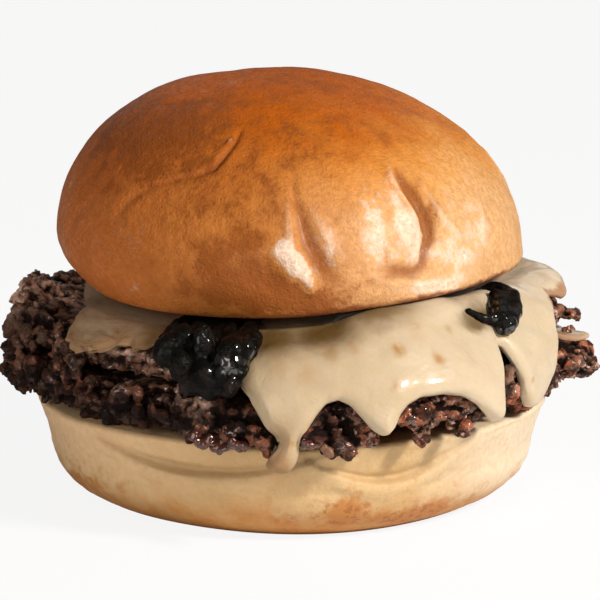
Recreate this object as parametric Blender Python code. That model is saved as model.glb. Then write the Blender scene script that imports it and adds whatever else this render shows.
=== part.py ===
"""A double cheeseburger in a soft milk roll, as closed solids at its real size.

Run it with: blender --background --python part.py
Shape functions work in millimetres. An azimuth is in degrees, measured round the burger
from its front (-Y) towards its right (+X). A reach is the length, in millimetres, along
the top of the patties from the middle outwards and on down over their edge.
"""

import math

import bmesh
import bpy
from mathutils import Vector, noise

MM = 0.001
GAP = 0.35
COLLECTION = "burger"

# The bottom half of the roll.
HEEL_BASE_RADIUS = 40.5
HEEL_SIDE_RADIUS = 52.0
HEEL_BELLY_HEIGHT = 11.0
HEEL_FLARE = 3.4
HEEL_CUT_HEIGHT = 21.5
HEEL_EDGE_HEIGHT = 20.7
HEEL_FOLD_DEPTH = 2.0
HEEL_EDGE_ROUND = 1.0
HEEL_BELLY_POWER = 0.65
HEEL_FLARE_POWER = 1.3
# Each fold in the heel's side: azimuth of its middle, half its width in degrees, lowest height.
HEEL_FOLDS = ((-22.0, 34.0, 14.3), (23.0, 23.0, 12.9), (118.0, 26.0, 15.0), (-128.0, 30.0, 14.5))

# The top half of the roll, in its own frame: the origin is the middle of its cut face.
CROWN_RADIUS = 50.0
CROWN_WAIST_HEIGHT = 6.6
CROWN_WAIST_TILT = 4.6
CROWN_TOP_HEIGHT = 43.0
CROWN_LEAN = 5.2
CROWN_TOP_LEAN = 1.8
CROWN_OFFSET = 0.8
# How square the crown's right side is: the power of its arc, which is 1 where the arc is round.
CROWN_RIGHT_POWER = 0.8
CROWN_SKIRT_HEIGHT = 21.0
CROWN_EDGE_ROUND = 0.8
CROWN_HOLLOW = 0.25
CROWN_TILT = 3.15
# Each crease of the crust: its azimuth and height angle at each end, its depth and its width.
CROWN_CREASES = (
    ((1.5, 47.0), (2.0, 24.0), 0.9, 2.6),
    ((2.0, 24.0), (7.5, 6.0), 1.5, 3.4),
    ((37.0, 42.0), (35.0, 30.0), 0.9, 2.4),
    ((35.0, 30.0), (39.0, 12.0), 1.7, 3.0),
    ((39.0, 12.0), (31.0, 0.0), 0.9, 2.6),
    ((-21.0, 56.0), (-24.0, 42.0), 0.9, 2.2),
    ((-24.0, 42.0), (-48.0, 30.0), 0.8, 2.0),
    ((-48.0, 30.0), (-53.0, 17.0), 0.7, 2.4),
    ((150.0, 40.0), (163.0, 12.0), 1.3, 3.2),
    ((-128.0, 46.0), (-140.0, 18.0), 1.2, 3.0),
    ((92.0, 36.0), (97.0, 10.0), 1.1, 3.0),
)

# The stack between the halves. Ring values start at the back and step 30 degrees by azimuth.
STACK_RADII = (59.0, 58.0, 59.5, 61.5, 55.5, 55.0, 61.5, 62.5, 57.5, 60.0, 60.0, 59.0)
SHOULDERS = (10.0, 9.0, 8.0, 8.0, 9.0, 12.0, 14.0, 14.0, 13.0, 10.0, 10.0, 10.0)
STACK_BASE = HEEL_CUT_HEIGHT + GAP
STACK_MIDDLE = STACK_BASE + 9.6
STACK_MIDDLE_TILT = 0.03
STACK_TOP = STACK_BASE + 19.4
STACK_TOP_TILT = 0.045
CROWN_SEAT = STACK_TOP + 5.9
# Where the patties' top curls up beside the crown: azimuth, rise, half width, radii it rises over.
CURL = (-93.0, 8.0, 27.0, 47.0, 55.0)
LOWER_SAG = 1.3
LOWER_SAG_FROM = 55.0
# Where the lower patty's edge rises off the roll: azimuth, rise, half width in degrees.
EDGE_LIFTS = ((4.5, 1.6, 3.0), (20.0, 5.2, 4.0), (33.0, 3.8, 9.0), (50.0, 4.6, 8.0))
EDGE_LIFT_SPAN = (48.0, 56.0)
PATTY_RIM = 3.4
UPPER_SETBACK = 1.2
COVER_MARGIN = 7.0
PRESS_DEPTH = 0.9
CRAG_HEIGHT = 4.0
CRAG_SIZE = 6.5
CRAG_RISE = 0.2
# Each lump of browned meat at the rim: azimuth, height above the stack's base, how far it stands
# out, half its width in degrees and half its height.
LUMPS = (
    (9.5, 3.7, 2.6, 6.5, 5.5),
    (33.0, 6.2, 3.2, 7.5, 4.2),
    (91.0, 4.5, 9.0, 6.5, 5.5),
    (91.0, 15.5, 12.0, 6.0, 4.2),
    (-93.0, 6.7, 1.8, 10.0, 6.0),
    (-16.0, 0.2, 2.2, 6.0, 3.5),
    (203.0, 3.7, 2.6, 8.0, 5.0),
    (150.0, 3.7, 2.2, 6.0, 4.5),
)

# The slice of cheese between the patties.
INNER_SLICE_THICKNESS = 1.3
INNER_SLICE_RADII = (51.0, 48.0, 45.0, 45.0, 43.0, 43.0, 46.0, 48.0, 49.0, 52.0, 53.0, 52.0)
INNER_SLICE_TONGUE = (97.0, 9.5, 7.0)

# The slice under the top one, and the top slice with its hem over the front.
BACK_SLICE_THICKNESS = 1.3
BACK_SLICE_REACHES = (63.0, 58.0, 50.0, 44.0, 43.5, 43.5, 43.5, 43.5, 44.5, 54.0, 61.0, 66.0)
TOP_SLICE_THICKNESS = 1.5
TOP_SLICE_HEM_THICKNESS = 2.6
TOP_SLICE_REACHES = (53.0, 55.0, 47.0, 45.5, 54.5, 49.0, 56.0, 57.0, 56.0, 57.5, 47.0, 49.0)
TOP_SLICE_STEP = 6.0
TOP_SLICE_MARGIN = 13.0
SHEET_START = 43.0
SHEET_CLEARANCE = 0.2
HEM_HEIGHT = STACK_BASE + 5.4
HEM_LEFT = (-10.0, -4.6)
HEM_RIGHT = (47.4, 49.4)
LOBE_HEM_HEIGHT = STACK_BASE + 1.7
LOBE_LEFT = (52.5, 56.0)
LOBE_RIGHT = (70.0, 82.0)
# Where the top slice's columns are close together: the middle azimuth, half the width, how much closer.
DENSE_HEM = (31.0, 50.0, 2.2)
# Each drip and arch of the hem: azimuth, change of height, half width in degrees.
HEM_WAVES = ((-0.9, -9.4, 2.3), (8.8, 4.2, 4.3), (18.9, -3.0, 2.2), (30.0, 3.8, 7.6), (44.2, -4.6, 3.2))
BACK_DRIPS = ((158.0, 5.0, 6.0), (188.0, 3.5, 5.0))

# The onions.
ONION_REACHES = (38.0, 37.0, 33.0, 31.0, 34.0, 40.0, 42.0, 40.0, 42.0, 42.0, 39.0, 38.0)
STRAND_RADIUS = 2.1
STRAND_PINCH = 0.38
STRAND_FREE = (45.0, 54.0)
# Each strand over the left of the hem: azimuths at its inner and outer end, and its last reach.
LEFT_STRANDS = (
    (-28.5, -29.0, 50.0),
    (-25.0, -25.5, 54.0),
    (-21.5, -20.5, 57.5),
    (-18.0, -17.5, 60.0),
    (-14.5, -12.5, 61.5),
    (-11.5, -10.5, 60.0),
    (-8.5, -8.5, 55.0),
)
STRAND_START = 37.0
STRAND_SWAY = 1.2
STRAND_TIP = 0.7
ONION_EDGE_ROUND = 0.9
# The hooked strands on the right: azimuth and reach of each point of their middle lines.
RIGHT_STRANDS = (
    ((56.0, 38.0), (60.0, 44.0), (65.0, 47.0), (65.2, 49.7), (63.0, 52.2), (59.0, 54.4), (53.5, 55.4)),
    ((41.0, 40.0), (42.4, 47.5), (44.5, 50.8), (48.3, 52.4), (52.5, 53.6)),
    ((52.0, 38.0), (56.0, 44.5), (58.5, 49.0), (57.0, 52.4)),
)

COLOURS = {
    "crust": ((0.60, 0.24, 0.06), 0.35),
    "heel_crust": ((0.78, 0.55, 0.30), 0.60),
    "seared_beef": ((0.055, 0.024, 0.016), 0.45),
    "melted_cheese": ((0.82, 0.66, 0.40), 0.30),
    "dark_onion": ((0.012, 0.010, 0.010), 0.15),
}


def ramp(low, high, value):
    """0 below low, 1 above high, and a straight line between."""
    return min(1.0, max(0.0, (value - low) / (high - low)))


def smooth(low, high, value):
    """0 below low, 1 above high, and an S-curve between."""
    share = ramp(low, high, value)
    return share * share * (3 - 2 * share)


def bell(distance, half_width, power=2):
    """1 in the middle, falling off at half_width, with a flatter top for a higher power."""
    return math.exp(-abs(distance / half_width) ** power)


def turn(azimuth, middle):
    """The signed angle from middle to azimuth, between -180 and 180 degrees."""
    return (azimuth - middle + 180.0) % 360.0 - 180.0


def ring_value(values, azimuth):
    """A smooth closed curve through values spaced evenly round the burger from its back."""
    count = len(values)
    place = (azimuth + 180.0) % 360.0 * count / 360.0
    first = int(place)
    share = place - first
    a, b, c, d = (values[(first + step) % count] for step in (-1, 0, 1, 2))
    bend = 2 * b + (c - a) * share + (2 * a - 5 * b + 4 * c - d) * share**2
    return (bend + (3 * b - a - 3 * c + d) * share**3) / 2


def at_azimuth(azimuth, radius, height):
    """The point at that azimuth, radius and height."""
    angle = math.radians(azimuth)
    return Vector((radius * math.sin(angle), -radius * math.cos(angle), height))


def material(name):
    """The named surface finish as a Principled BSDF."""
    found = bpy.data.materials.get(name)
    if found:
        return found
    colour, roughness = COLOURS[name]
    made = bpy.data.materials.new(name)
    made.use_nodes = True
    shader = made.node_tree.nodes["Principled BSDF"]
    shader.inputs["Base Color"].default_value = (*colour, 1.0)
    shader.inputs["Roughness"].default_value = roughness
    shader.inputs["Metallic"].default_value = 0.0
    return made


def add_object(name, mesh, finish):
    """A smooth-shaded object in the burger's collection."""
    mesh.shade_smooth()
    mesh.materials.append(material(finish))
    made = bpy.data.objects.new(name, mesh)
    bpy.data.collections[COLLECTION].objects.link(made)
    return made


def mould(name, finish, columns, sections, shape, spread=None):
    """A sphere pressed into a layer. Its rings of vertices take the sections in turn, from the
    middle of the top to the middle of the underside, and shape gives each vertex its place."""
    rings = len(sections) - 1
    form = bmesh.new()
    bmesh.ops.create_uvsphere(form, u_segments=columns, v_segments=rings, radius=1.0)
    for vertex in form.verts:
        height = min(1.0, max(-1.0, vertex.co.z))
        row = round(math.acos(height) / math.pi * rings)
        azimuth = math.degrees(math.atan2(vertex.co.y, vertex.co.x)) + 90.0
        if spread:
            azimuth = spread(azimuth)
        vertex.co = shape(turn(azimuth, 0.0), sections[row]) * MM
    mesh = bpy.data.meshes.new(name)
    form.to_mesh(mesh)
    form.free()
    return add_object(name, mesh, finish)


def heel_radius(azimuth, height):
    """The heel's radius at a height: a rounded belly, a flare at the cut, and pressed-in folds."""
    below = max(0.0, 1.0 - height / HEEL_BELLY_HEIGHT)
    belly = (1.0 - below**2) ** HEEL_BELLY_POWER
    radius = HEEL_BASE_RADIUS + (HEEL_SIDE_RADIUS - HEEL_BASE_RADIUS) * belly
    above = max(0.0, height - HEEL_BELLY_HEIGHT) / (HEEL_CUT_HEIGHT - HEEL_BELLY_HEIGHT)
    radius += HEEL_FLARE * above**HEEL_FLARE_POWER
    for middle, half, low in HEEL_FOLDS:
        across = turn(azimuth, middle) / half
        if abs(across) < 1.0:
            line = low + (HEEL_CUT_HEIGHT - low) * across**2
            depth = HEEL_FOLD_DEPTH * (1.0 - across**2)
            radius -= depth * smooth(line - 0.6, line + 1.2, height)
            radius += 0.35 * depth * bell(height - line + 2.0, 1.6)
    angle = math.radians(azimuth)
    return radius + 0.7 * math.sin(2 * angle + 0.6) + 0.4 * math.sin(5 * angle + 1.0)


def heel_shape(azimuth, section):
    """A point of the bottom half of the roll."""
    part, share = section
    if part == "side":
        return at_azimuth(azimuth, heel_radius(azimuth, share), share)
    if part == "cut":
        radius = heel_radius(azimuth, HEEL_EDGE_HEIGHT) - HEEL_EDGE_ROUND
        return at_azimuth(azimuth, radius * share, HEEL_CUT_HEIGHT)
    return at_azimuth(azimuth, HEEL_BASE_RADIUS * share, 0.0)


def crown_crease(azimuth, lift):
    """How deep the creases press the crust in at that azimuth and height angle."""
    depth = 0.0
    for start, end, deepest, width in CROWN_CREASES:
        run = Vector((turn(end[0], start[0]), end[1] - start[1]))
        away = Vector((turn(azimuth, start[0]), lift - start[1]))
        share = min(1.0, max(0.0, away.dot(run) / run.length_squared))
        distance = (away - run * share).length
        depth = max(depth, deepest * bell(distance, width))
    return depth


def crown_shape(azimuth, section):
    """A point of the top half of the roll, in its own frame."""
    part, share = section
    angle = math.radians(azimuth)
    waist = CROWN_WAIST_HEIGHT - CROWN_WAIST_TILT * math.sin(angle)
    if part == "cut":
        edge = crown_radius(azimuth) * crown_skirt(waist) - CROWN_EDGE_ROUND
        return at_azimuth(azimuth, edge * share, CROWN_HOLLOW * (1.0 - share**2))
    if part == "skirt":
        below = waist * (1.0 - share)
        return at_azimuth(azimuth, crown_radius(azimuth) * crown_skirt(below), waist - below)
    lift = math.radians(share)
    inwards = 1.0 - crown_crease(azimuth, share) / CROWN_RADIUS
    power = 1.0 + (CROWN_RIGHT_POWER - 1.0) * max(0.0, math.sin(angle)) * math.cos(lift) ** 2
    radius = crown_radius(azimuth) * max(0.0, math.cos(lift)) ** power * inwards
    rise = (CROWN_TOP_HEIGHT - waist) * math.sin(lift) * inwards
    rise += 0.8 * math.cos(lift) * math.sin(lift) * math.sin(3 * angle + 0.8)
    across = CROWN_LEAN * math.sin(lift) ** 2 + CROWN_TOP_LEAN * math.sin(lift) ** 6
    lean = Vector((-across, 0.0, 0.0))
    return at_azimuth(azimuth, radius, waist + rise) + lean


def crown_radius(azimuth):
    """The crown's radius at its waist, which isn't quite round."""
    angle = math.radians(azimuth)
    return CROWN_RADIUS + 0.5 * math.sin(2 * angle + 2.2) + 0.4 * math.sin(3 * angle)


def crown_skirt(below):
    """How far the crown draws in that far below its waist, as a share of its radius."""
    return math.sqrt(1.0 - (below / CROWN_SKIRT_HEIGHT) ** 2)


def shoulder(azimuth):
    """Where the top of the stack starts to round over, the rounding's radius, and the top's height."""
    bend = ring_value(SHOULDERS, azimuth)
    flat = ring_value(STACK_RADII, azimuth) - bend
    return flat, bend


def stack_top(azimuth, radius):
    """The height of the patties' top, which leans to the left and curls up there at the rim."""
    middle, rise, half, start, end = CURL
    curl = rise * bell(turn(azimuth, middle), half, 4) * ramp(start, end, radius)
    return STACK_TOP + STACK_TOP_TILT * radius * math.sin(math.radians(azimuth)) + curl


def drape(azimuth, reach, offset):
    """The radius and height of a point that far along the stack and that far off its surface."""
    flat, bend = shoulder(azimuth)
    if reach <= flat:
        return reach, stack_top(azimuth, reach) + offset
    top = stack_top(azimuth, flat)
    round_over = bend * math.pi / 2
    if reach <= flat + round_over:
        angle = (reach - flat) / bend
        out = bend + offset
        return flat + out * math.sin(angle), top - bend + out * math.cos(angle)
    return flat + bend + offset, top - bend - (reach - flat - round_over)


def reach_to_height(azimuth, height):
    """The reach at which the draped surface has come down to that height."""
    flat, bend = shoulder(azimuth)
    middle = stack_top(azimuth, flat) - bend
    if height < middle:
        return flat + bend * math.pi / 2 + middle - height
    return flat + bend * math.acos(min(1.0, (height - middle) / bend))


def reach_of(azimuth, radius, height):
    """The reach of the draped surface's point nearest a point beside the stack."""
    flat, bend = shoulder(azimuth)
    middle = stack_top(azimuth, flat) - bend
    if radius <= flat:
        return radius
    if height >= middle:
        return flat + bend * math.atan2(radius - flat, height - middle)
    return flat + bend * math.pi / 2 + middle - height


def back_slice_reach(azimuth):
    """How far the slice under the top one reaches."""
    reach = ring_value(BACK_SLICE_REACHES, azimuth)
    for middle, length, half in BACK_DRIPS:
        reach += length * bell(turn(azimuth, middle), half, 4)
    return reach


def top_slice_reach(azimuth):
    """How far the top slice reaches: a hem over the front, a lobe at the right, a slit between."""
    reach = ring_value(TOP_SLICE_REACHES, azimuth)
    hem = HEM_HEIGHT
    for middle, change, half in HEM_WAVES:
        hem += change * bell(turn(azimuth, middle), half, 4)
    front = smooth(*HEM_LEFT, azimuth) * (1.0 - smooth(*HEM_RIGHT, azimuth))
    lobe = smooth(*LOBE_LEFT, azimuth) * (1.0 - smooth(*LOBE_RIGHT, azimuth))
    reach += front * (reach_to_height(azimuth, hem) - reach)
    return reach + lobe * (reach_to_height(azimuth, LOBE_HEM_HEIGHT) - reach)


def widest(slice_end, azimuth, margin):
    """The furthest that a slice reaches within the margin on either side of the azimuth."""
    places = (azimuth + margin * step / 2 for step in (-2, -1, 0, 1, 2))
    return max(slice_end(turn(place, 0.0)) for place in places)


def top_slice_offset(azimuth, reach):
    """How far the top slice's underside is off the patties, where it lies on the slice below."""
    end = widest(back_slice_reach, azimuth, TOP_SLICE_MARGIN)
    step = 1.0 - smooth(end + 1.0, end + 1.0 + TOP_SLICE_STEP, reach)
    return (BACK_SLICE_THICKNESS + GAP) * step + SHEET_CLEARANCE


def top_slice_thickness(reach):
    """The top slice's thickness, which grows where it hangs free of the crown."""
    return TOP_SLICE_THICKNESS + (TOP_SLICE_HEM_THICKNESS - TOP_SLICE_THICKNESS) * smooth(46.0, 60.0, reach)


def covered(azimuth, radius, height):
    """1 where cheese lies on the patties' surface or just beside it, 0 where it is bare."""
    end = max(widest(slice_end, azimuth, COVER_MARGIN) for slice_end in (top_slice_reach, back_slice_reach))
    return 1.0 - smooth(end + 1.2, end + 3.2, reach_of(azimuth, radius, height))


def crag(azimuth, radius, height):
    """How far the seared rim stands out: broad lumps, and crags of minced meat between them."""
    point = at_azimuth(azimuth, radius, height) / CRAG_SIZE
    out = CRAG_HEIGHT * noise.fractal(point, 0.6, 2.2, 3)
    for middle, level, most, width, span in LUMPS:
        out += most * bell(turn(azimuth, middle), width) * bell(height - STACK_BASE - level, span)
    return out


def pressed(azimuth, radius, height):
    """The point drawn in under the cheese, and left standing out where the rim is bare."""
    flat, bend = shoulder(azimuth)
    middle = stack_top(azimuth, flat) - bend
    inside = bend - PRESS_DEPTH
    if radius <= flat:
        return radius, height
    up = max(0.0, height - middle)
    away = math.hypot(radius - flat, up)
    if away <= inside:
        return radius, height
    share = covered(azimuth, radius, height) * (1.0 - inside / away)
    return radius - (radius - flat) * share, height - up * share


def patty_point(azimuth, section, rim, underside, top):
    """A point of a patty between two surfaces, with a rounded rim of that radius."""
    share, angle = section
    side = math.cos(math.radians(angle))
    lift = math.sin(math.radians(angle))
    inner = (rim - PATTY_RIM) * share
    low, high = underside(azimuth, inner), top(azimuth, inner)
    radius = inner + PATTY_RIM * side
    height = (low + high) / 2 + (high - low) / 2 * lift
    if side > 0.01:
        bare = 1.0 - covered(azimuth, radius, height)
        out = bare * crag(azimuth, radius, height)
        radius += side * out
        height += CRAG_RISE * max(0.0, lift) * out
        radius, height = pressed(azimuth, radius, height)
    return at_azimuth(azimuth, radius, height)


def stack_middle(azimuth, radius):
    """The height of the lower patty's top face."""
    return STACK_MIDDLE + STACK_MIDDLE_TILT * radius * math.sin(math.radians(azimuth))


def lower_underside(azimuth, radius):
    """The lower patty's underside, which sags past the roll's edge and rises between its lumps."""
    sag = LOWER_SAG * smooth(LOWER_SAG_FROM, LOWER_SAG_FROM + 9.0, radius)
    lift = sum(rise * bell(turn(azimuth, middle), half, 4) for middle, rise, half in EDGE_LIFTS)
    return STACK_BASE - sag + lift * smooth(*EDGE_LIFT_SPAN, radius)


def lower_patty_shape(azimuth, section):
    """A point of the lower patty."""
    rim = ring_value(STACK_RADII, azimuth) - GAP
    return patty_point(azimuth, section, rim, lower_underside, stack_middle)


def upper_underside(azimuth, radius):
    """The upper patty's underside, over the slice of cheese."""
    return stack_middle(azimuth, radius) + INNER_SLICE_THICKNESS + 2 * GAP


def upper_top(azimuth, radius):
    """The upper patty's top, which rounds over with the stack's shoulder."""
    flat, bend = shoulder(azimuth)
    out = max(0.0, radius - flat)
    inside = bend - PRESS_DEPTH
    return stack_top(azimuth, min(radius, flat)) - bend + math.sqrt(max(0.0, inside**2 - out**2))


def upper_rim(azimuth):
    """The upper patty's radius, which the shoulder holds in."""
    flat, bend = shoulder(azimuth)
    level = max(0.0, upper_underside(azimuth, flat) + PATTY_RIM - stack_top(azimuth, flat) + bend)
    return flat + math.sqrt((bend - PRESS_DEPTH) ** 2 - level**2) - UPPER_SETBACK


def upper_patty_shape(azimuth, section):
    """A point of the upper patty."""
    return patty_point(azimuth, section, upper_rim(azimuth), upper_underside, upper_top)


def inner_slice_shape(azimuth, section):
    """A point of the slice of cheese between the patties."""
    share, angle = section
    half = INNER_SLICE_THICKNESS / 2
    middle, length, width = INNER_SLICE_TONGUE
    end = ring_value(INNER_SLICE_RADII, azimuth) + length * bell(turn(azimuth, middle), width)
    radius = (end - half) * share
    middle = stack_middle(azimuth, radius) + GAP + half
    radius += half * math.cos(math.radians(angle))
    return at_azimuth(azimuth, radius, middle + half * math.sin(math.radians(angle)))


def sheet_reach(end, share):
    """The reach at a share of a slice, half of which is the flat middle and half the rim."""
    start = min(SHEET_START, 0.9 * end)
    return start * min(1.0, 2 * share) + (end - start) * max(0.0, 2 * share - 1)


def sheet_point(azimuth, section, end, offset, thickness):
    """A point of a slice draped on the stack: its outer face, its rounded edge or its inner face."""
    share, face = section
    edge = thickness / 2
    reach = sheet_reach(end - edge, share)
    if face == 0:
        return at_azimuth(azimuth, *drape(azimuth, end, offset + edge))
    raised = offset + (thickness if face > 0 else 0.0)
    return at_azimuth(azimuth, *drape(azimuth, reach, raised))


def back_slice_shape(azimuth, section):
    """A point of the slice under the top one."""
    return sheet_point(azimuth, section, back_slice_reach(azimuth), 0.0, BACK_SLICE_THICKNESS)


def top_slice_shape(azimuth, section):
    """A point of the top slice, which is thicker where it hangs."""
    end = top_slice_reach(azimuth)
    reach = sheet_reach(end, section[0])
    return sheet_point(azimuth, section, end, top_slice_offset(azimuth, reach), top_slice_thickness(reach))


def top_slice_spread(azimuth):
    """Moves the top slice's columns closer together along its hem, where its outline is busy."""
    middle, half, denser = DENSE_HEM
    away = turn(azimuth, middle)
    dense = half * denser
    scale = (180.0 - half) / (180.0 - dense)
    if abs(away) < dense:
        return middle + away / denser
    return middle + math.copysign(half + (abs(away) - dense) * scale, away)


def onion_layer_shape(azimuth, section):
    """A point of the flat heap of onions between the cheese and the crown."""
    share, angle = section
    reach = ring_value(ONION_REACHES, azimuth) * share
    low = drape(azimuth, reach, top_slice_offset(azimuth, reach) + TOP_SLICE_THICKNESS + GAP)[1]
    across = reach * math.sin(math.radians(azimuth))
    high = CROWN_SEAT + math.tan(math.radians(CROWN_TILT)) * across - GAP
    radius = reach + ONION_EDGE_ROUND * math.cos(math.radians(angle))
    height = (low + high) / 2 + (high - low) / 2 * math.sin(math.radians(angle))
    return at_azimuth(azimuth, radius, height)


def strand_offset(azimuth, reach):
    """How far off the patties a strand's middle line lies, so that it rests on the cheese."""
    cheese = top_slice_offset(azimuth, reach) + top_slice_thickness(reach)
    return cheese + GAP + STRAND_RADIUS * strand_girth(reach) + SHEET_CLEARANCE


def strand_girth(reach):
    """The share of its full thickness that a strand has there, as the crown presses it flat."""
    return STRAND_PINCH + (1.0 - STRAND_PINCH) * smooth(*STRAND_FREE, reach)


def add_strand(name, route):
    """An onion strand whose middle line follows azimuths and reaches, as a closed mesh."""
    points = []
    for azimuth, reach in route:
        points.append(at_azimuth(azimuth, *drape(azimuth, reach, strand_offset(azimuth, reach))) * MM)
    curve = bpy.data.curves.new(name, "CURVE")
    curve.dimensions = "3D"
    curve.bevel_depth = STRAND_RADIUS * MM
    curve.bevel_resolution = 1
    curve.use_fill_caps = True
    spline = curve.splines.new("POLY")
    spline.points.add(len(points) - 1)
    for place, point, (_, reach) in zip(spline.points, points, route):
        place.co = (*point, 1.0)
        place.radius = strand_girth(reach)
    spline.points[-1].radius *= STRAND_TIP
    guide = bpy.data.objects.new(name, curve)
    bpy.context.scene.collection.objects.link(guide)
    bpy.context.view_layer.update()
    graph = bpy.context.evaluated_depsgraph_get()
    mesh = bpy.data.meshes.new_from_object(guide.evaluated_get(graph))
    bpy.data.objects.remove(guide)
    close_caps(mesh)
    made = bpy.data.objects.new(name, mesh)
    bpy.data.collections["strands"].objects.link(made)
    return made


def close_caps(mesh):
    """Joins a swept curve's caps to its sides."""
    form = bmesh.new()
    form.from_mesh(mesh)
    bmesh.ops.remove_doubles(form, verts=form.verts, dist=0.00001)
    bmesh.ops.recalc_face_normals(form, faces=form.faces)
    form.to_mesh(mesh)
    form.free()


def join_strands(layer):
    """Makes the layer and every strand one solid, and removes the strands' own objects."""
    strands = bpy.data.collections["strands"]
    union = layer.modifiers.new("strands", "BOOLEAN")
    union.operation = "UNION"
    union.operand_type = "COLLECTION"
    union.collection = strands
    union.solver = "MANIFOLD"
    bpy.context.view_layer.update()
    graph = bpy.context.evaluated_depsgraph_get()
    joined = bpy.data.meshes.new_from_object(layer.evaluated_get(graph))
    layer.modifiers.clear()
    layer.data = joined
    for strand in list(strands.objects):
        bpy.data.objects.remove(strand)
    bpy.data.collections.remove(strands)


def left_strand_route(start, end, last, steps=7):
    """The middle line of a strand that comes out from under the crown and hangs over the edge."""
    route = []
    for step in range(steps):
        share = step / (steps - 1)
        sway = STRAND_SWAY * math.sin(3.0 * share + start)
        route.append((start + (end - start) * share + sway, STRAND_START + (last - STRAND_START) * share))
    return route


def make_heel():
    """The bottom half of the roll."""
    cut = [("cut", share) for share in (0.0, 0.6, 1.0)]
    side = [("side", height) for height in (20.7, 19.0, 17.2, 15.4, 13.7, 11.9, 9.8, 7.2, 4.6, 2.4, 0.8)]
    base = [("base", share) for share in (1.0, 0.0)]
    mould("bun_bottom", "heel_crust", 72, cut + side + base, heel_shape)


def make_crown():
    """The top half of the roll, tilted up to the right."""
    dome = [("dome", lift) for lift in (90, 78, 66, 56, 48, 41, 34, 28, 22, 16, 10, 5, 0)]
    skirt = [("skirt", share) for share in (0.6, 0.2)]
    cut = [("cut", share) for share in (1.0, 0.55, 0.0)]
    crown = mould("bun_top", "crust", 72, dome + skirt + cut, crown_shape)
    crown.location = (CROWN_OFFSET * MM, 0.0, CROWN_SEAT * MM)
    crown.rotation_euler = (0.0, -math.radians(CROWN_TILT), 0.0)


def make_patties():
    """The two smashed patties and the slice of cheese between them."""
    top = [(share, 90.0) for share in (0.0, 0.5, 0.84, 1.0)]
    rim = [(1.0, angle) for angle in (62.0, 37.0, 12.0, -12.0, -37.0, -62.0)]
    sections = top + rim + [(share, -90.0) for share in (1.0, 0.93, 0.0)]
    mould("patty_lower", "seared_beef", 104, sections, lower_patty_shape)
    mould("patty_upper", "seared_beef", 104, sections, upper_patty_shape)
    slice_sections = [(0.0, 90.0), (1.0, 90.0), (1.0, 0.0), (1.0, -90.0), (0.0, -90.0)]
    mould("cheese_inner", "melted_cheese", 60, slice_sections, inner_slice_shape)


def sheet_sections(steps):
    """The sections of a draped slice, with that many steps across its rim on each face."""
    shares = [0.0] + [0.5 + 0.5 * step / steps for step in range(steps + 1)]
    return [(share, 1) for share in shares] + [(1.0, 0)] + [(share, -1) for share in reversed(shares)]


def make_top_cheese():
    """The two slices over the patties, the upper one hanging over the front in drips."""
    mould("cheese_back", "melted_cheese", 48, sheet_sections(5), back_slice_shape)
    mould("cheese_top", "melted_cheese", 84, sheet_sections(7), top_slice_shape, top_slice_spread)


def make_onions():
    """The dark fried onions: a flat heap under the crown with strands hanging out of it."""
    bpy.data.collections.new("strands")
    bpy.context.scene.collection.children.link(bpy.data.collections["strands"])
    sections = [(0.0, 90.0), (0.6, 90.0), (1.0, 90.0), (1.0, 0.0), (1.0, -90.0), (0.6, -90.0), (0.0, -90.0)]
    layer = mould("onions", "dark_onion", 40, sections, onion_layer_shape)
    for number, (start, end, last) in enumerate(LEFT_STRANDS, 1):
        add_strand(f"left_strand_{number}", left_strand_route(start, end, last))
    for number, route in enumerate(RIGHT_STRANDS, 1):
        add_strand(f"right_strand_{number}", route)
    join_strands(layer)


def main():
    """Clears the scene and makes every piece of the burger."""
    for old in list(bpy.data.objects):
        bpy.data.objects.remove(old)
    collection = bpy.data.collections.new(COLLECTION)
    bpy.context.scene.collection.children.link(collection)
    make_heel()
    make_patties()
    make_top_cheese()
    make_onions()
    make_crown()


main()
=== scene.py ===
"""The finished look of a double cheeseburger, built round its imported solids.

Shape functions work in millimetres. An azimuth is in degrees, measured round the burger from its
front (-Y) towards its right (+X). A reach is the length along the top of the patties from the
middle outwards and on down over their edge. A lift is the height angle of a point on the crown.
"""

import itertools
import math

import bmesh
import bpy
import numpy as np
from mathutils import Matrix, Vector, noise


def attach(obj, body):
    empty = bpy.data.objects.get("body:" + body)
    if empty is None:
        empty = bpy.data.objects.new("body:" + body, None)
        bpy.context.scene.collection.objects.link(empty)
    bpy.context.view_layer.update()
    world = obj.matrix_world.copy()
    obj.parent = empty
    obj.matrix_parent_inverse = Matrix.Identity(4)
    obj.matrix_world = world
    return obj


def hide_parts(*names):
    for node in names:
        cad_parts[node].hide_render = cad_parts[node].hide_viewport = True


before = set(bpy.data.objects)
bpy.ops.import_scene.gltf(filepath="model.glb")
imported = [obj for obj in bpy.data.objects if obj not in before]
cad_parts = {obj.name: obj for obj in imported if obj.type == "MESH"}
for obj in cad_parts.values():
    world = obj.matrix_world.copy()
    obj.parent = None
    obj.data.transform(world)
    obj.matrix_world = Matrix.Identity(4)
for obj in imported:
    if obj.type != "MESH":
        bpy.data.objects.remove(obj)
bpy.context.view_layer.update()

bl_info = {
    "name": "Cheeseburger maker",
    "version": (1, 0, 0),
    "blender": (4, 5, 0),
    "location": "3D View > Sidebar > Burger",
    "description": "Builds the finished surfaces of a double cheeseburger round its solids",
    "category": "Object",
}

MM = 0.001

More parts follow.
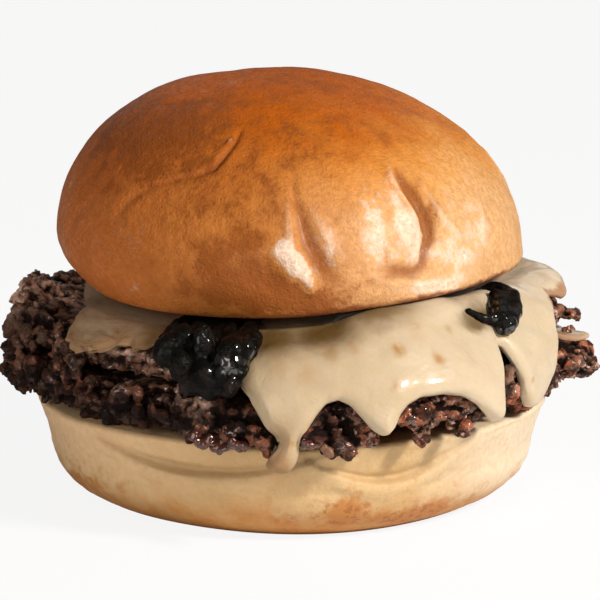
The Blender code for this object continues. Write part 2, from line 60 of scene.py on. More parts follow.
# The stack, as its solids have it.
GAP = 0.35
HEEL_BASE_RADIUS = 40.5
HEEL_SIDE_RADIUS = 52.0
HEEL_BELLY_HEIGHT = 11.0
HEEL_FLARE = 3.4
HEEL_CUT_HEIGHT = 21.5
HEEL_BELLY_POWER = 0.65
HEEL_FLARE_POWER = 1.3
HEEL_FOLDS = ((-22, 34, 14.3), (23, 23, 12.9), (118, 26, 15), (-128, 30, 14.5))
CROWN_RADIUS = 50.0
CROWN_WAIST_HEIGHT = 6.6
CROWN_WAIST_TILT = 4.6
CROWN_TOP_HEIGHT = 43.0
CROWN_LEAN = 5.2
CROWN_TOP_LEAN = 1.8
CROWN_OFFSET = 0.8
CROWN_RIGHT_POWER = 0.8
CROWN_SKIRT_HEIGHT = 21.0
CROWN_TILT = 3.15
STACK_RADII = (59, 58, 59.5, 61.5, 55.5, 55, 61.5, 62.5, 57.5, 60, 60, 59)
SHOULDERS = (10, 9, 8, 8, 9, 12, 14, 14, 13, 10, 10, 10)
STACK_BASE = HEEL_CUT_HEIGHT + GAP
STACK_MIDDLE = STACK_BASE + 9.6
STACK_MIDDLE_TILT = 0.03
STACK_TOP = STACK_BASE + 19.4
STACK_TOP_TILT = 0.045
CROWN_SEAT = STACK_TOP + 5.9
CURL = (-93, 8, 27, 47, 55)
INNER_SLICE_THICKNESS = 1.3
INNER_SLICE_RADII = (51, 48, 45, 45, 43, 43, 46, 48, 49, 52, 53, 52)
INNER_SLICE_TONGUE = (90, 12.5, 5)
BACK_SLICE_THICKNESS = 1.3
BACK_SLICE_REACHES = (63, 58, 50, 44, 43.5, 43.5, 43.5, 43.5, 44.5, 54, 61, 66)
BACK_DRIPS = ((158, 5, 6), (188, 3.5, 5))
TOP_SLICE_THICKNESS = 1.5
TOP_SLICE_HEM_THICKNESS = 2.6
TOP_SLICE_REACHES = (53, 55, 46, 42, 54.5, 49, 56, 57, 56, 57.5, 47, 49)
LEFT_HEM_STEPS = ((-73, 7, -3.5), (-46, 4.5, -2.4), (-33, 5, -2.5))
TOP_SLICE_STEP = 6.0
TOP_SLICE_MARGIN = 13.0
SHEET_START = 43.0
SHEET_CLEARANCE = 0.2
# The top slice's hem over the front and right: azimuth, and height above the stack's base. It runs
# down the left edge, round the long drip, over two arches, up the slit and round the right lobe.
HEM = (
    (-9.4, 19), (-8.6, 15), (-7.6, 11), (-6.2, 8.6), (-5, 6.4), (-4.2, 3.6), (-3.9, 0.4), (-3.5, -1.8),
    (-2.4, -3), (-0.9, -3.4), (0.6, -3), (1.7, -1.4), (2.1, 1), (2.4, 3.6), (3.4, 6), (5, 8.6), (6.8, 10.6),
    (9.2, 11.3), (11.4, 10.2), (13.2, 8), (15, 5.6), (16.6, 4.2), (18, 4), (19.1, 5.2), (20.2, 7.6),
    (22, 9.6), (25, 10.8), (30, 10.8), (34.5, 9.8), (38, 7.6), (40.8, 4.8), (43, 2.9), (45, 2.9), (46.2, 4.6),
    (47, 9), (48, 13.5), (49.4, 16.4), (50.8, 16.2), (52.8, 12.5), (54.6, 8.6), (55.6, 5.2), (57.2, 2.6),
    (60, 1.9), (63, 2.8), (66, 4.2), (69, 7), (71.5, 12), (74.5, 16.5), (79, 19.6), (83, 20.6),
)
HEM_LEFT = (-13, -9)
HEM_RIGHT = (78, 86)
# Where the melted slice is drawn to a side, narrower or wider: azimuth and height above the stack's
# base, how far the pull reaches each way, the turn, and the change of width.
PULLS = (
    (-0.9, 2.8, 5, 2.4, 0.9, -0.52), (-0.9, -1.9, 5, 2, -0.9, 0.12), (-9, 15.4, 4.5, 3.2, -2.4, 0),
    (-50, 17, 22, 2.2, 3, 0),
)
# Where the slice is thicker: azimuth and height above the stack's base, half width, thickness.
BEADS = (
    (-1.9, -1.6, 3, 1.5), (0, 5, 2.6, 0.4), (17.2, 5.6, 2.6, 0.9), (44.4, 4.6, 3, 0.7), (59.5, 3.6, 4, 0.5),
)

# Lumps of mince beyond the solids: azimuth, height, radius of the middle, half size.
LOWER_LUMPS = (
    (-5, 24.6, 60.6, 2.3), (-4.6, 22.6, 60.6, 1.7), (-6.8, 26, 59.6, 2.4), (-12, 24.6, 58.2, 2.2),
    (5, 24.6, 60, 1.8), (7.5, 22.4, 59.4, 1.5), (16, 24, 59.8, 1.6), (27, 23.6, 59, 2.2), (36, 24.4, 60.6, 2),
    (51.4, 33, 58, 1.6), (52, 29, 58.8, 1.6),
)
# Lumps that thicken the clump of onion on the left.
ONION_LUMPS = (
    (-25.5, 41.5, 57.6, 3.2), (-21.5, 39.6, 59, 3.4), (-17, 38, 59.8, 3.6), (-12.5, 39.4, 59.6, 3.4),
    (-15.5, 35.4, 60.6, 2.8), (-19.5, 36, 60, 2.8), (-11.5, 43, 57.6, 3.2), (-17.5, 43, 57.2, 3.6),
    (-23, 44, 55.4, 3.2),
)
# The joint between the patties, which mince hides on the left: azimuths and heights.
SEAM = (-118, -10, 26.5, 37)
# Pale crisp bits and drops of juice, sunk in the mince: azimuth, height, radius, half size.
CRISP_BITS = ((7.4, 22.2, 60.4, 1.2), (8.8, 22.8, 60.4, 0.9), (6.6, 23.2, 60.6, 0.8))
JUICE_DROPS = (
    (-19, 24.8, 59.8, 1.1), (-18.2, 23.7, 60, 1.3), (-16.9, 23.3, 60, 1.3), (-15.9, 24.2, 59.8, 1.1),
    (-14.6, 22.8, 59.8, 1.2), (-13.4, 22.2, 59.8, 1.3), (-12.4, 22.9, 59.8, 1.1), (-11.2, 23.8, 60, 1.1),
    (-10, 23.4, 60.2, 1.3), (-8.8, 23.6, 60.2, 1.1), (2.4, 24.2, 60.6, 1.3), (4, 24, 60.8, 1.5),
    (5.6, 24.2, 60.6, 1.2),
)
# Smears of melted fat on the mince: azimuth, height, half width, half height, strength.
SMEARS = (
    (-94, 41, 9, 4, 1), (-112, 38.8, 7, 2.4, 0.9), (-74, 42.4, 5, 1.4, 0.7), (-36, 40.2, 9, 1.2, 0.6),
    (-43.4, 37.3, 2.8, 0.9, 0.9), (-37.4, 37, 1.3, 0.8, 0.7), (-24, 36.8, 3.4, 2, 1),
    (-22.6, 32.8, 1.8, 1.8, 0.9), (-18.8, 30.4, 2, 1.8, 0.6), (-49, 37.4, 5, 1, 0.8),
    (-43.2, 31.4, 1.6, 2, 0.8), (80, 39, 4, 2.6, 0.9), (84, 36, 3, 2, 0.5), (51.5, 31, 2, 3, 0.3),
)
# Orange brown specks in the top slice: azimuth, height, half size, strength.
CHEESE_SPECKS = (
    (22, 41.9, 1, 0.9), (23.2, 42.2, 0.8, 0.7), (30, 39.9, 1.1, 0.8), (8.5, 41.8, 1.4, 0.45),
    (19.5, 35.9, 0.9, 0.5), (13, 42.8, 1.2, 0.4), (3.5, 38.4, 2.2, 0.35), (-2.2, 39.6, 2, 0.3),
    (36, 44.2, 0.8, 0.5), (59, 46, 0.9, 0.5), (28, 45, 1.6, 0.3),
)
# Where dark juice has run on the top slice, and painted shade on it under the crown's front lip (the rows
# at azimuths -5, 8 and 21): azimuth, reach, how far each way, strength.
DARK_RUNS_AND_SHADE = (
    (44.5, 53, 4.6, 1.8, 0.9), (50, 51.5, 4, 2.8, 0.9), (-34, 47, 7, 5, 0.7), (-78, 44, 9, 3, 0.5),
    (-5, 49, 11, 6.8, 0.97), (8, 48.5, 11, 6.2, 0.97), (21, 48.2, 10, 4.4, 0.88), (-8, 56, 1.6, 6, 0.4),
)
# Where the top slice swells up to the crown's lip: azimuth, reach, how far each way, and how much.
CONTACT = ((30, 48.8, 18, 4.2, 4.6), (60, 47.5, 13, 4, 1.8))
# Where the crown's lip lifts: azimuth, how far each way, and how much.
LIP_LIFT = (38, 30, 0.8)
# Spots of fat in the mince, and where it is wet: azimuth, height, half width, half height, strength.
FATTY = (
    (31, 27.5, 9, 5, 1), (13, 27, 4, 5, 0.6), (90, 36, 9, 4, 0.9), (82, 29, 14, 7, 0.9), (-13, 24, 7, 3, 0.7),
    (-32, 35, 14, 5, 0.6), (-50, 34, 20, 6, 0.25), (-98, 44, 12, 3, 0.7), (150, 30, 30, 8, 0.3),
    (-130, 34, 30, 8, 0.25),
)
# Where the heel's foot is toasted: azimuth, height, half width, half height, strength.
TOASTED = (
    (-1, 4.5, 4, 4, 0.8), (12, 6.5, 9, 4, 1), (31, 4, 13, 3.2, 1), (-60, 6, 14, 5, 0.6), (80, 4, 20, 4, 0.6),
    (130, 4.5, 18, 4, 0.8), (175, 5, 22, 4, 0.7), (-120, 4, 20, 4, 0.8),
)
# Where the onions are wettest: azimuth, height, half width, half height, share.
WET_ONION = ((-10.4, 41.5, 4.4, 3.6, 1), (-17, 45, 5, 3, 0.25), (56, 43.5, 7, 4, 1))

# How finely the skins are divided: columns round the burger, and rings where the shape varies.
CROWN_COLUMNS, CROWN_RINGS = 520, 140
HEEL_COLUMNS, HEEL_RINGS = 400, 62
TOP_SLICE_COLUMNS, TOP_SLICE_RINGS = 620, 70
UNDER_SLICE_COLUMNS, UNDER_SLICE_RINGS = 360, 30
MIDDLE_SLICE_COLUMNS = 300
SEAM_COLUMNS, SEAM_ROWS = 80, 8
STRAND_STATIONS = 26
# A fused skin's loose islands with fewer vertices than this are dropped.
SMALLEST_ISLAND = 600
# Nearer the middle than this, the patties are hidden and their faces are joined.
HIDDEN_RADIUS = 42.0
# Where the top slice's columns lie close together: their middle azimuth, half width and share.
BUSY_FRONT = (31.0, 52.0, 0.55)
# Where the strands of onion start under the crown.
STRAND_START = 37.0

# The crown's skin: lines of creases and ridges, each point an azimuth, a lift, how far it stands
# out (or in, below zero) and how wide it is.
CROWN_LINES = (
    ((4.8, 38, -0.1, 0.8), (3.8, 31.5, -0.5, 0.7), (3.2, 28.5, -0.7, 0.8), (4.2, 24.5, -0.9, 1.2),
     (4.8, 19.5, -1.1, 1.6), (5.5, 13.8, -1.2, 2), (7.2, 8.8, -1.3, 2.4), (9.2, 4.2, -0.8, 2.6)),
    ((2.6, 29, 0.3, 0.9), (1.6, 26.5, 0.4, 0.8), (0.8, 21.2, 0.4, 0.8), (0.6, 15.8, 0.6, 1.2),
     (-0.8, 12, 1, 2.6), (1.5, 7, 1, 2.2), (4, 2.6, 0.5, 1)),
    ((7.2, 25, 0.3, 1.2), (8.2, 20, 0.5, 1.8), (9.8, 15.5, 0.5, 2), (12, 10, 0.4, 2.2)),
    ((5.6, 4.4, 0.5, 0.5), (4.6, 1.8, 0.5, 0.6), (4.4, -1, 0.4, 0.8)),
    ((37.2, 40, -0.2, 1.2), (36.6, 35.2, -0.9, 1.6), (36.6, 30.2, -1.3, 1.8), (37, 25, -1.7, 2),
     (37.4, 19.2, -1.9, 2), (36.8, 14.5, -1.7, 1.5), (34.2, 10.8, -1.3, 1.2), (32.6, 6.2, -1, 1.6),
     (29.5, 4.5, -1, 2.2), (25, 5, -0.9, 2.2), (20.8, 6.5, -0.3, 1.6)),
    ((36.4, 39.2, 0.4, 1.2), (32.8, 33.5, 0.7, 1), (32.6, 29, 0.7, 0.9), (33.8, 24.5, 0.8, 1),
     (34.2, 19.8, 0.9, 1), (32.4, 14, 0.8, 1), (30.2, 7.5, 0.5, 1.2)),
    ((41, 30.8, 0.3, 1.2), (41, 25.2, 0.5, 1.4), (42.2, 18.2, 0.7, 1.6), (45.5, 13.8, 0.5, 1.2)),
    ((59.5, 24, 0.1, 1), (58.8, 20.5, 0.4, 1), (57, 15.2, 0.4, 1), (54.5, 9.5, 0.2, 1)),
    ((52, 22, 0.2, 1.5), (50, 16, 0.4, 1.6), (49, 11, 0.2, 1.2)),
    ((38, 8.2, 0.3, 0.9), (41, 7, 0.4, 1), (44.4, 6, 0.3, 0.9)),
    ((23.2, 13, -0.4, 0.7), (23.4, 9, -0.3, 0.7)),
    ((19, 3.4, 0.3, 0.9), (24, 1.6, 0.5, 1), (30, 0.8, 0.4, 1)),
    ((-9, 54.5, -0.2, 0.5), (-12.4, 47.8, -0.9, 0.55), (-15.4, 43.4, -1.1, 0.55), (-18.6, 38.6, -1, 0.55),
     (-23.2, 36.2, -0.8, 0.6), (-28, 35, -0.6, 0.7), (-33, 32.8, -0.6, 0.7), (-39, 30.2, -0.6, 0.8),
     (-44.6, 24, -0.4, 1), (-47.5, 17, -0.1, 1.2)),
    ((-12.2, 50.2, 0.1, 0.4), (-13.4, 48.9, 0.75, 0.5), (-14.8, 47.2, 0.15, 0.4)),
    ((-17, 44.4, 0.1, 0.5), (-20.2, 40.4, 0.15, 0.5), (-24, 37.8, 0.15, 0.6), (-33, 34.8, 0.2, 0.7)),
    ((-12, 6, -0.2, 3), (-5, 1.5, -0.7, 3), (2, -2, -0.5, 2.6)),
    ((-60, 20, -0.1, 1.2), (-66, 12, -0.4, 1.6), (-70, 4, -0.2, 1.4)),
    ((92, 38, -0.1, 0.9), (94, 28, -0.8, 1.2), (97, 18, -1.1, 1.8), (99, 8, -0.6, 1.8)),
    ((68, 24, 0.1, 0.8), (66, 14, 0.3, 0.7), (62, 5, 0.2, 0.7)),
    ((74, 20, 0.1, 0.8), (71, 11, 0.25, 0.6), (67, 4, 0.15, 0.7)),
    ((98, 30, 0.3, 1), (101.5, 18, 0.6, 1.4), (103, 9, 0.4, 1.4)),
    ((128, 30, -0.2, 0.9), (124, 21, -0.5, 1), (126, 12, -0.4, 1.2)),
    ((148, 44, -0.2, 0.8), (154, 32, -0.8, 1.2), (160, 20, -1.3, 2), (165, 9, -0.8, 2.2)),
    ((160, 36, 0.3, 0.9), (166, 22, 0.7, 1.4), (171, 11, 0.5, 1.8)),
    ((-172, 30, -0.2, 0.9), (-178, 20, -0.6, 1.2), (-174, 10, -0.3, 1.4)),
    ((-122, 52, -0.2, 0.8), (-129, 40, -0.8, 1.1), (-134, 28, -1.1, 1.7), (-141, 16, -0.6, 1.8)),
    ((-126, 34, 0.3, 1), (-128, 24, 0.6, 1.4), (-134, 13, 0.4, 1.6)),
    ((-100, 30, -0.2, 0.9), (-94, 20, -0.5, 1.1), (-98, 9, -0.3, 1.3)),
)

# Where the crown's crust is browner (or paler, below zero): azimuth, lift, how far each way, and how much.
# Some rows are the crust's own browning; others are painted shade on the low front, in crease valleys and
# under bulges, and painted highlights in the pale patches on the right and the streak high on the left.
CROWN_TONES_AND_PAINTED_LIGHT = (
    (-12, 5, 15, 12, 0.9), (-2, -3, 18, 6, 1.4), (-50, 47, 32, 18, 0.9), (-1.4, 12, 2.8, 4, -2.2),
    (1.6, 6.6, 2.8, 3.6, -2.2), (4.2, 1.6, 1.6, 3.2, -1.6), (9.5, 13, 2, 7, -0.7), (21.5, 19.5, 2.4, 7, -0.7),
    (29.5, 22.5, 1.8, 8, -0.7), (55, 13, 3, 8, -0.7), (32, -1, 15, 3, -0.7), (44, 7, 5, 2.5, -0.5),
    (39.5, 22, 3.6, 8, 0.9), (26, 3.5, 8, 2.6, 0.6), (34, 14, 20, 15, -0.58), (76, 14, 20, 18, 0.1),
    (-14, 28, 16, 14, 0.5), (14, 16, 4, 10, 0.4), (10, 88, 60, 14, 0.4), (150, 26, 30, 20, 0.4),
    (-150, 40, 30, 20, 0.3), (-62, 69, 8, 3.5, -0.4), (-55, 78, 20, 3.5, -0.5),
)

# The left strands of onion: azimuths at the inner and outer end, last reach, thickness.
LEFT_STRANDS = (
    (-31.5, -33, 48, 1.5), (-29, -30, 51.5, 1.9), (-26, -26.5, 54.5, 2.3), (-23, -23, 57, 2.3),
    (-20, -19.5, 59, 2.6), (-17.2, -17, 60.5, 2.4), (-14.5, -13.5, 61.5, 2.6), (-11.8, -11.2, 60.5, 2.4),
    (-9.4, -9, 56, 1.9), (-24, -13, 55, 2.4), (-15, -28, 53, 2.2), (-27, -12, 51, 2),
)
# The hooked strands on the right: azimuth, reach and thickness of each point.
RIGHT_STRANDS = (
    ((56.4, 45.6, 0.5), (58.4, 45.8, 0.9), (60.2, 46.8, 1.4), (60.8, 48.4, 1.9), (59.6, 50.6, 2.4),
     (57, 52.6, 2.4), (53, 54.4, 2.1), (49.6, 55.4, 1.4)),
    ((43, 51, 0.3), (44.6, 51.4, 0.5), (46.6, 52.2, 0.7), (48.8, 53, 1.1), (52, 53.2, 1.8)),
    ((57, 48.6, 1.8), (55.4, 50.6, 2.3), (53.4, 52.4, 2.5), (51, 53.8, 1.9)),
)


def ramp(low, high, value):
    """0 below low, 1 above high, and a straight line between."""
    return np.clip((value - low) / (high - low), 0.0, 1.0)


def smooth(low, high, value):
    """0 below low, 1 above high, and an S-curve between."""
    share = ramp(low, high, value)
    return share * share * (3 - 2 * share)


def bell(distance, half_width, power=2):
    """1 in the middle, falling off at half_width, with a flatter top for a higher power."""
    return np.exp(-np.abs(distance / half_width) ** power)


def turn(azimuth, middle):
    """The signed angle from middle to azimuth, between -180 and 180 degrees."""
    return (azimuth - middle + 180.0) % 360.0 - 180.0


def ring_value(values, azimuth):
    """A smooth closed curve through values spaced evenly round the burger from its back."""
    count = len(values)
    place = (np.asarray(azimuth) + 180.0) % 360.0 * count / 360.0
    first = np.floor(place).astype(int)
    share = place - first
    a, b, c, d = (np.asarray(values)[(first + step) % count] for step in (-1, 0, 1, 2))
    bend = 2 * b + (c - a) * share + (2 * a - 5 * b + 4 * c - d) * share**2
    return (bend + (3 * b - a - 3 * c + d) * share**3) / 2


def at_azimuth(azimuth, radius, height):
    """The points at those azimuths, radii and heights."""
    angle = np.radians(azimuth)
    places = np.broadcast_arrays(radius * np.sin(angle), -radius * np.cos(angle), height)
    return np.stack(places, axis=-1)


def around(columns):
    """Evenly spaced azimuths all the way round."""
    return np.arange(columns) * 360.0 / columns - 180.0


def patches(table, azimuth, height, power=2, least=0.0):
    """The strongest patch of a table at each point: azimuth, height, half width, half height, strength."""
    found = [strength * bell(turn(azimuth, middle), half, power) * bell(height - level, tall, power)
             for middle, level, half, tall, strength in table]
    return np.maximum(least, np.max(found, axis=0))


def waves(points, size, seed, octaves=1):
    """Soft noise at each point, between about -1 and 1, with lumps of that size."""
    shift = Vector((seed * 17.3, seed * 5.1, seed * 9.7))
    places = (Vector(point) / size + shift for point in points.reshape(-1, 3))
    if octaves == 1:
        found = [noise.noise(place) for place in places]
    else:
        found = [noise.fractal(place, 0.7, 2.1, octaves) for place in places]
    return np.array(found).reshape(points.shape[:-1])


def heel_fold(azimuth, middle, half, low):
    """How far inside a fold each azimuth is, and the height of the fold's line there."""
    across = turn(azimuth, middle) / half
    return np.maximum(0.0, 1.0 - across**2), low + (HEEL_CUT_HEIGHT - low) * across**2


def heel_radius(azimuth, height):
    """The heel's radius at a height: a rounded belly, a flare at the cut, and folds."""
    below = np.maximum(0.0, 1.0 - height / HEEL_BELLY_HEIGHT)
    belly = (1.0 - below**2) ** HEEL_BELLY_POWER
    radius = HEEL_BASE_RADIUS + (HEEL_SIDE_RADIUS - HEEL_BASE_RADIUS) * belly
    above = np.maximum(0.0, height - HEEL_BELLY_HEIGHT) / (HEEL_CUT_HEIGHT - HEEL_BELLY_HEIGHT)
    radius = radius + HEEL_FLARE * above**HEEL_FLARE_POWER
    for fold in HEEL_FOLDS:
        inside, line = heel_fold(azimuth, *fold)
        depth = settings("heel").fold_depth / MM * inside
        radius = radius - depth * smooth(line - 0.5, line + 0.7, height)
        radius = radius - 0.3 * depth * bell(height - line - 0.9, 0.8)
        radius = radius + 0.4 * depth * bell(height - line + 1.8, 1.5)
    angle = np.radians(azimuth)
    return radius + 0.7 * np.sin(2 * angle + 0.6) + 0.4 * np.sin(5 * angle + 1.0)


def crown_radius(azimuth):
    """The crown's radius at its waist, which isn't quite round."""
    angle = np.radians(azimuth)
    return CROWN_RADIUS + 0.5 * np.sin(2 * angle + 2.2) + 0.4 * np.sin(3 * angle)


def crown_waist(azimuth):
    """The height of the crown's widest line, which is lower on the right."""
    return CROWN_WAIST_HEIGHT - CROWN_WAIST_TILT * np.sin(np.radians(azimuth))


def crown_point(azimuth, lift):
    """The points of the crown's dome, in its own frame."""
    angle = np.radians(azimuth)
    height = np.radians(lift)
    waist = crown_waist(azimuth)
    side = np.maximum(0.0, np.cos(height))
    power = 1.0 + (CROWN_RIGHT_POWER - 1.0) * np.maximum(0.0, np.sin(angle)) * side**2
    rise = (CROWN_TOP_HEIGHT - waist) * np.sin(height)
    rise = rise + 0.8 * np.cos(height) * np.sin(height) * np.sin(3 * angle + 0.8)
    points = at_azimuth(azimuth, crown_radius(azimuth) * side**power, waist + rise)
    points[..., 0] -= CROWN_LEAN * np.sin(height) ** 2 + CROWN_TOP_LEAN * np.sin(height) ** 6
    return points


def crown_skirt(azimuth, below):
    """The points of the crown that far below its waist, where it draws in."""
    share = np.sqrt(1.0 - (below / CROWN_SKIRT_HEIGHT) ** 2)
    return at_azimuth(azimuth, crown_radius(azimuth) * share, crown_waist(azimuth) - below)


def crown_to_stack(points):
    """Tilts the crown and sets it on the stack."""
    tilt = -math.radians(CROWN_TILT)
    x, y, z = points[..., 0], points[..., 1], points[..., 2]
    across = x * math.cos(tilt) + z * math.sin(tilt)
    up = z * math.cos(tilt) - x * math.sin(tilt)
    return np.stack((across + CROWN_OFFSET, y, up + CROWN_SEAT), axis=-1)


def line_rise(points, line):
    """How far one line of a crease or ridge raises each point beside it."""
    ends = [crown_point(azimuth, lift) for azimuth, lift, _, _ in line]
    nearest = np.full(points.shape[:-1], np.inf)
    rise = np.zeros(points.shape[:-1])
    for start, end, first, last in zip(ends, ends[1:], line, line[1:]):
        run = end - start
        share = np.clip((points - start) @ run / (run @ run), 0.0, 1.0)
        distance = np.linalg.norm(points - start - share[..., None] * run, axis=-1)
        height = first[2] + (last[2] - first[2]) * share
        width = first[3] + (last[3] - first[3]) * share
        rise = np.where(distance < nearest, height * bell(distance, width), rise)
        nearest = np.minimum(nearest, distance)
    return rise


def shoulder(azimuth):
    """Where the top of the stack starts to round over, and the rounding's radius."""
    bend = ring_value(SHOULDERS, azimuth)
    return ring_value(STACK_RADII, azimuth) - bend, bend


def stack_top(azimuth, radius):
    """The height of the patties' top, which leans to the left and curls up there at the rim."""
    middle, rise, half, start, end = CURL
    curl = rise * bell(turn(azimuth, middle), half, 4) * ramp(start, end, radius)
    return STACK_TOP + STACK_TOP_TILT * radius * np.sin(np.radians(azimuth)) + curl


def drape(azimuth, reach, offset):
    """The radius and height of points that far along the stack and that far off its surface."""
    flat, bend = shoulder(azimuth)
    top = stack_top(azimuth, np.minimum(reach, flat))
    round_over = bend * math.pi / 2
    angle = np.clip((reach - flat) / bend, 0.0, math.pi / 2)
    down = np.maximum(0.0, reach - flat - round_over)
    out = bend + offset
    radius = np.where(reach <= flat, reach, flat + out * np.sin(angle))
    height = np.where(reach <= flat, top + offset, top - bend + out * np.cos(angle) - down)
    return radius, height


def reach_to_height(azimuth, height):
    """The reach at which the draped surface has come down to that height."""
    flat, bend = shoulder(azimuth)
    middle = stack_top(azimuth, flat) - bend
    over = flat + bend * np.arccos(np.clip((height - middle) / bend, -1.0, 1.0))
    return np.where(height < middle, flat + bend * math.pi / 2 + middle - height, over)


def reach_of(azimuth, radius, height):
    """The reach of the draped surface's point nearest a point beside the stack."""
    flat, bend = shoulder(azimuth)
    middle = stack_top(azimuth, flat) - bend
    over = flat + bend * np.arctan2(np.maximum(0.0, radius - flat), np.maximum(1e-6, height - middle))
    down = flat + bend * math.pi / 2 + middle - height
    return np.where(radius <= flat, radius, np.where(height >= middle, over, down))


def back_slice_reach(azimuth):
    """How far the slice under the top one reaches."""
    reach = ring_value(BACK_SLICE_REACHES, azimuth)
    for middle, length, half in BACK_DRIPS:
        reach = reach + length * bell(turn(azimuth, middle), half, 4)
    return reach


def top_slice_reach(azimuth):
    """How far the top slice reaches: a hem over the front, a lobe at the right, a slit between."""
    reach = ring_value(TOP_SLICE_REACHES, azimuth)
    for middle, half, step in LEFT_HEM_STEPS:
        reach = reach + step * bell(turn(azimuth, middle), half)
    torn = 0.45 * np.sin(0.85 * azimuth) + 0.3 * np.sin(1.9 * azimuth + 1.0)
    reach = reach + torn * bell(turn(azimuth, -56.0), 26.0, 4)
    places, heights = zip(*HEM)
    hem = sum(np.interp(azimuth + step * 0.3, places, heights) for step in (-1, 0, 1)) / 3
    front = smooth(*HEM_LEFT, azimuth) * (1.0 - smooth(*HEM_RIGHT, azimuth))
    return reach + front * (reach_to_height(azimuth, STACK_BASE + hem) - reach)


def widest(slice_end, azimuth, margin):
    """The furthest that a slice reaches within the margin on either side of each azimuth."""
    ends = [slice_end(turn(azimuth + margin * step / 2, 0.0)) for step in (-2, -1, 0, 1, 2)]
    return np.max(ends, axis=0)


def top_slice_offset(azimuth, reach):
    """How far the top slice's underside is off the patties, where it lies on the slice below."""
    end = widest(back_slice_reach, azimuth, TOP_SLICE_MARGIN)
    offset = (BACK_SLICE_THICKNESS + GAP) * (1.0 - smooth(end + 1.0, end + 1.0 + TOP_SLICE_STEP, reach))
    for middle, at_reach, half, wide, rise in CONTACT:
        offset = offset + rise * bell(turn(azimuth, middle), half, 4) * bell(reach - at_reach, wide)
    return offset + SHEET_CLEARANCE


def covered(azimuth, radius, height, margin, fade):
    """1 where cheese lies on the patties' surface or just beside it, 0 where it is bare."""
    ends = [widest(slice_end, azimuth, margin) for slice_end in (top_slice_reach, back_slice_reach)]
    end = np.max(ends, axis=0)
    return 1.0 - smooth(end + fade[0], end + fade[1], reach_of(azimuth, radius, height))


def stack_middle(azimuth, radius):
    """The height of the lower patty's top face."""
    return STACK_MIDDLE + STACK_MIDDLE_TILT * radius * np.sin(np.radians(azimuth))


def cylinder_of(points):
    """Each point's azimuth, radius and height."""
    azimuth = np.degrees(np.arctan2(points[..., 0], -points[..., 1]))
    return azimuth, np.hypot(points[..., 0], points[..., 1]), points[..., 2]


def ring_mesh(name, rings):
    """A closed mesh through rings of points in millimetres, of which the first and last are poles."""
    rows, columns = rings.shape[0] - 2, rings.shape[1]
    points = np.concatenate((rings[0, :1], rings[1:-1].reshape(-1, 3), rings[-1, :1]))
    row, column = np.meshgrid(np.arange(rows - 1) * columns + 1, np.arange(columns), indexing="ij")
    after = (column + 1) % columns
    corners = (row + column, row + columns + column, row + columns + after, row + after)
    quads = np.stack(corners, axis=-1).reshape(-1, 4).tolist()
    last, foot = len(points) - 1, 1 + (rows - 1) * columns
    pairs = [(step, (step + 1) % columns) for step in range(columns)]
    top = [(0, 1 + here, 1 + beside) for here, beside in pairs]
    base = [(last, foot + beside, foot + here) for here, beside in pairs]
    mesh = bpy.data.meshes.new(name)
    mesh.from_pydata((points * MM).tolist(), [], top + quads + base)
    mesh.update()
    mesh.shade_smooth()
    return mesh


def mesh_points(mesh):
    """A mesh's vertices in millimetres."""
    found = np.empty(len(mesh.vertices) * 3, np.float32)
    mesh.vertices.foreach_get("co", found)
    return found.reshape(-1, 3).astype(float) / MM


def move_points(mesh, points):
    """Moves a mesh's vertices to those places, in millimetres."""
    mesh.vertices.foreach_set("co", (points * MM).astype(np.float32).ravel())
    mesh.update()


def mesh_normals(mesh):
    """The direction that each vertex of a mesh faces."""
    found = np.empty(len(mesh.vertices) * 3, np.float32)
    mesh.vertex_normals.foreach_get("vector", found)
    return found.reshape(-1, 3).astype(float)


def swell(mesh, distance):
    """Moves each vertex out along its normal by that many millimetres."""
    move_points(mesh, mesh_points(mesh) + mesh_normals(mesh) * distance[:, None])


def store(mesh, name, values):
    """Keeps a value at each vertex for the materials to read."""
    made = mesh.attributes.get(name) or mesh.attributes.new(name, "FLOAT", "POINT")
    made.data.foreach_set("value", np.asarray(values, np.float32).ravel())


def add_piece(name, mesh, finish, slot, *replaced):
    """Makes a mesh a finished piece of the burger, in place of the named solids."""
    mesh.materials.clear()
    mesh.materials.append(finish)
    mesh.shade_smooth()
    piece = bpy.data.objects.new(name, mesh)
    bpy.context.scene.collection.objects.link(piece)
    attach(piece, "root")
    if replaced:
        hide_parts(*replaced)
    return piece


def merged_copy(node):
    """A copy of a solid's mesh with its loose triangles joined."""
    form = bmesh.new()
    form.from_mesh(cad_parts[node].data)
    bmesh.ops.remove_doubles(form, verts=form.verts, dist=0.00001)
    mesh = bpy.data.meshes.new(node + "_copy")
    form.to_mesh(mesh)
    form.free()
    return mesh


def evaluated(mesh, *steps):
    """The plain mesh that modifiers make of a mesh. Each step is a function that adds one."""
    workpiece = bpy.data.objects.new("workpiece", mesh)
    bpy.context.scene.collection.objects.link(workpiece)
    for step in steps:
        step(workpiece)
    bpy.context.view_layer.update()
    graph = bpy.context.evaluated_depsgraph_get()
    made = bpy.data.meshes.new_from_object(workpiece.evaluated_get(graph))
    workpiece.modifiers.clear()
    bpy.data.objects.remove(workpiece)
    return made


def subdivide(levels):
    """A step that rounds a mesh."""
    def step(workpiece):
        modifier = workpiece.modifiers.new("rounding", "SUBSURF")
        modifier.levels = levels
        modifier.render_levels = levels
    return step


def fuse(voxel):
    """A step that makes overlapping shapes one skin with cells of that size in millimetres."""
    def step(workpiece):
        modifier = workpiece.modifiers.new("one_skin", "REMESH")
        modifier.mode = "VOXEL"
        modifier.voxel_size = voxel * MM
        modifier.use_smooth_shade = True
    return step


def soften(factor, repeats):
    """A step that smooths a mesh's corners."""
    def step(workpiece):
        modifier = workpiece.modifiers.new("soften", "SMOOTH")
        modifier.factor = factor
        modifier.iterations = repeats
    return step


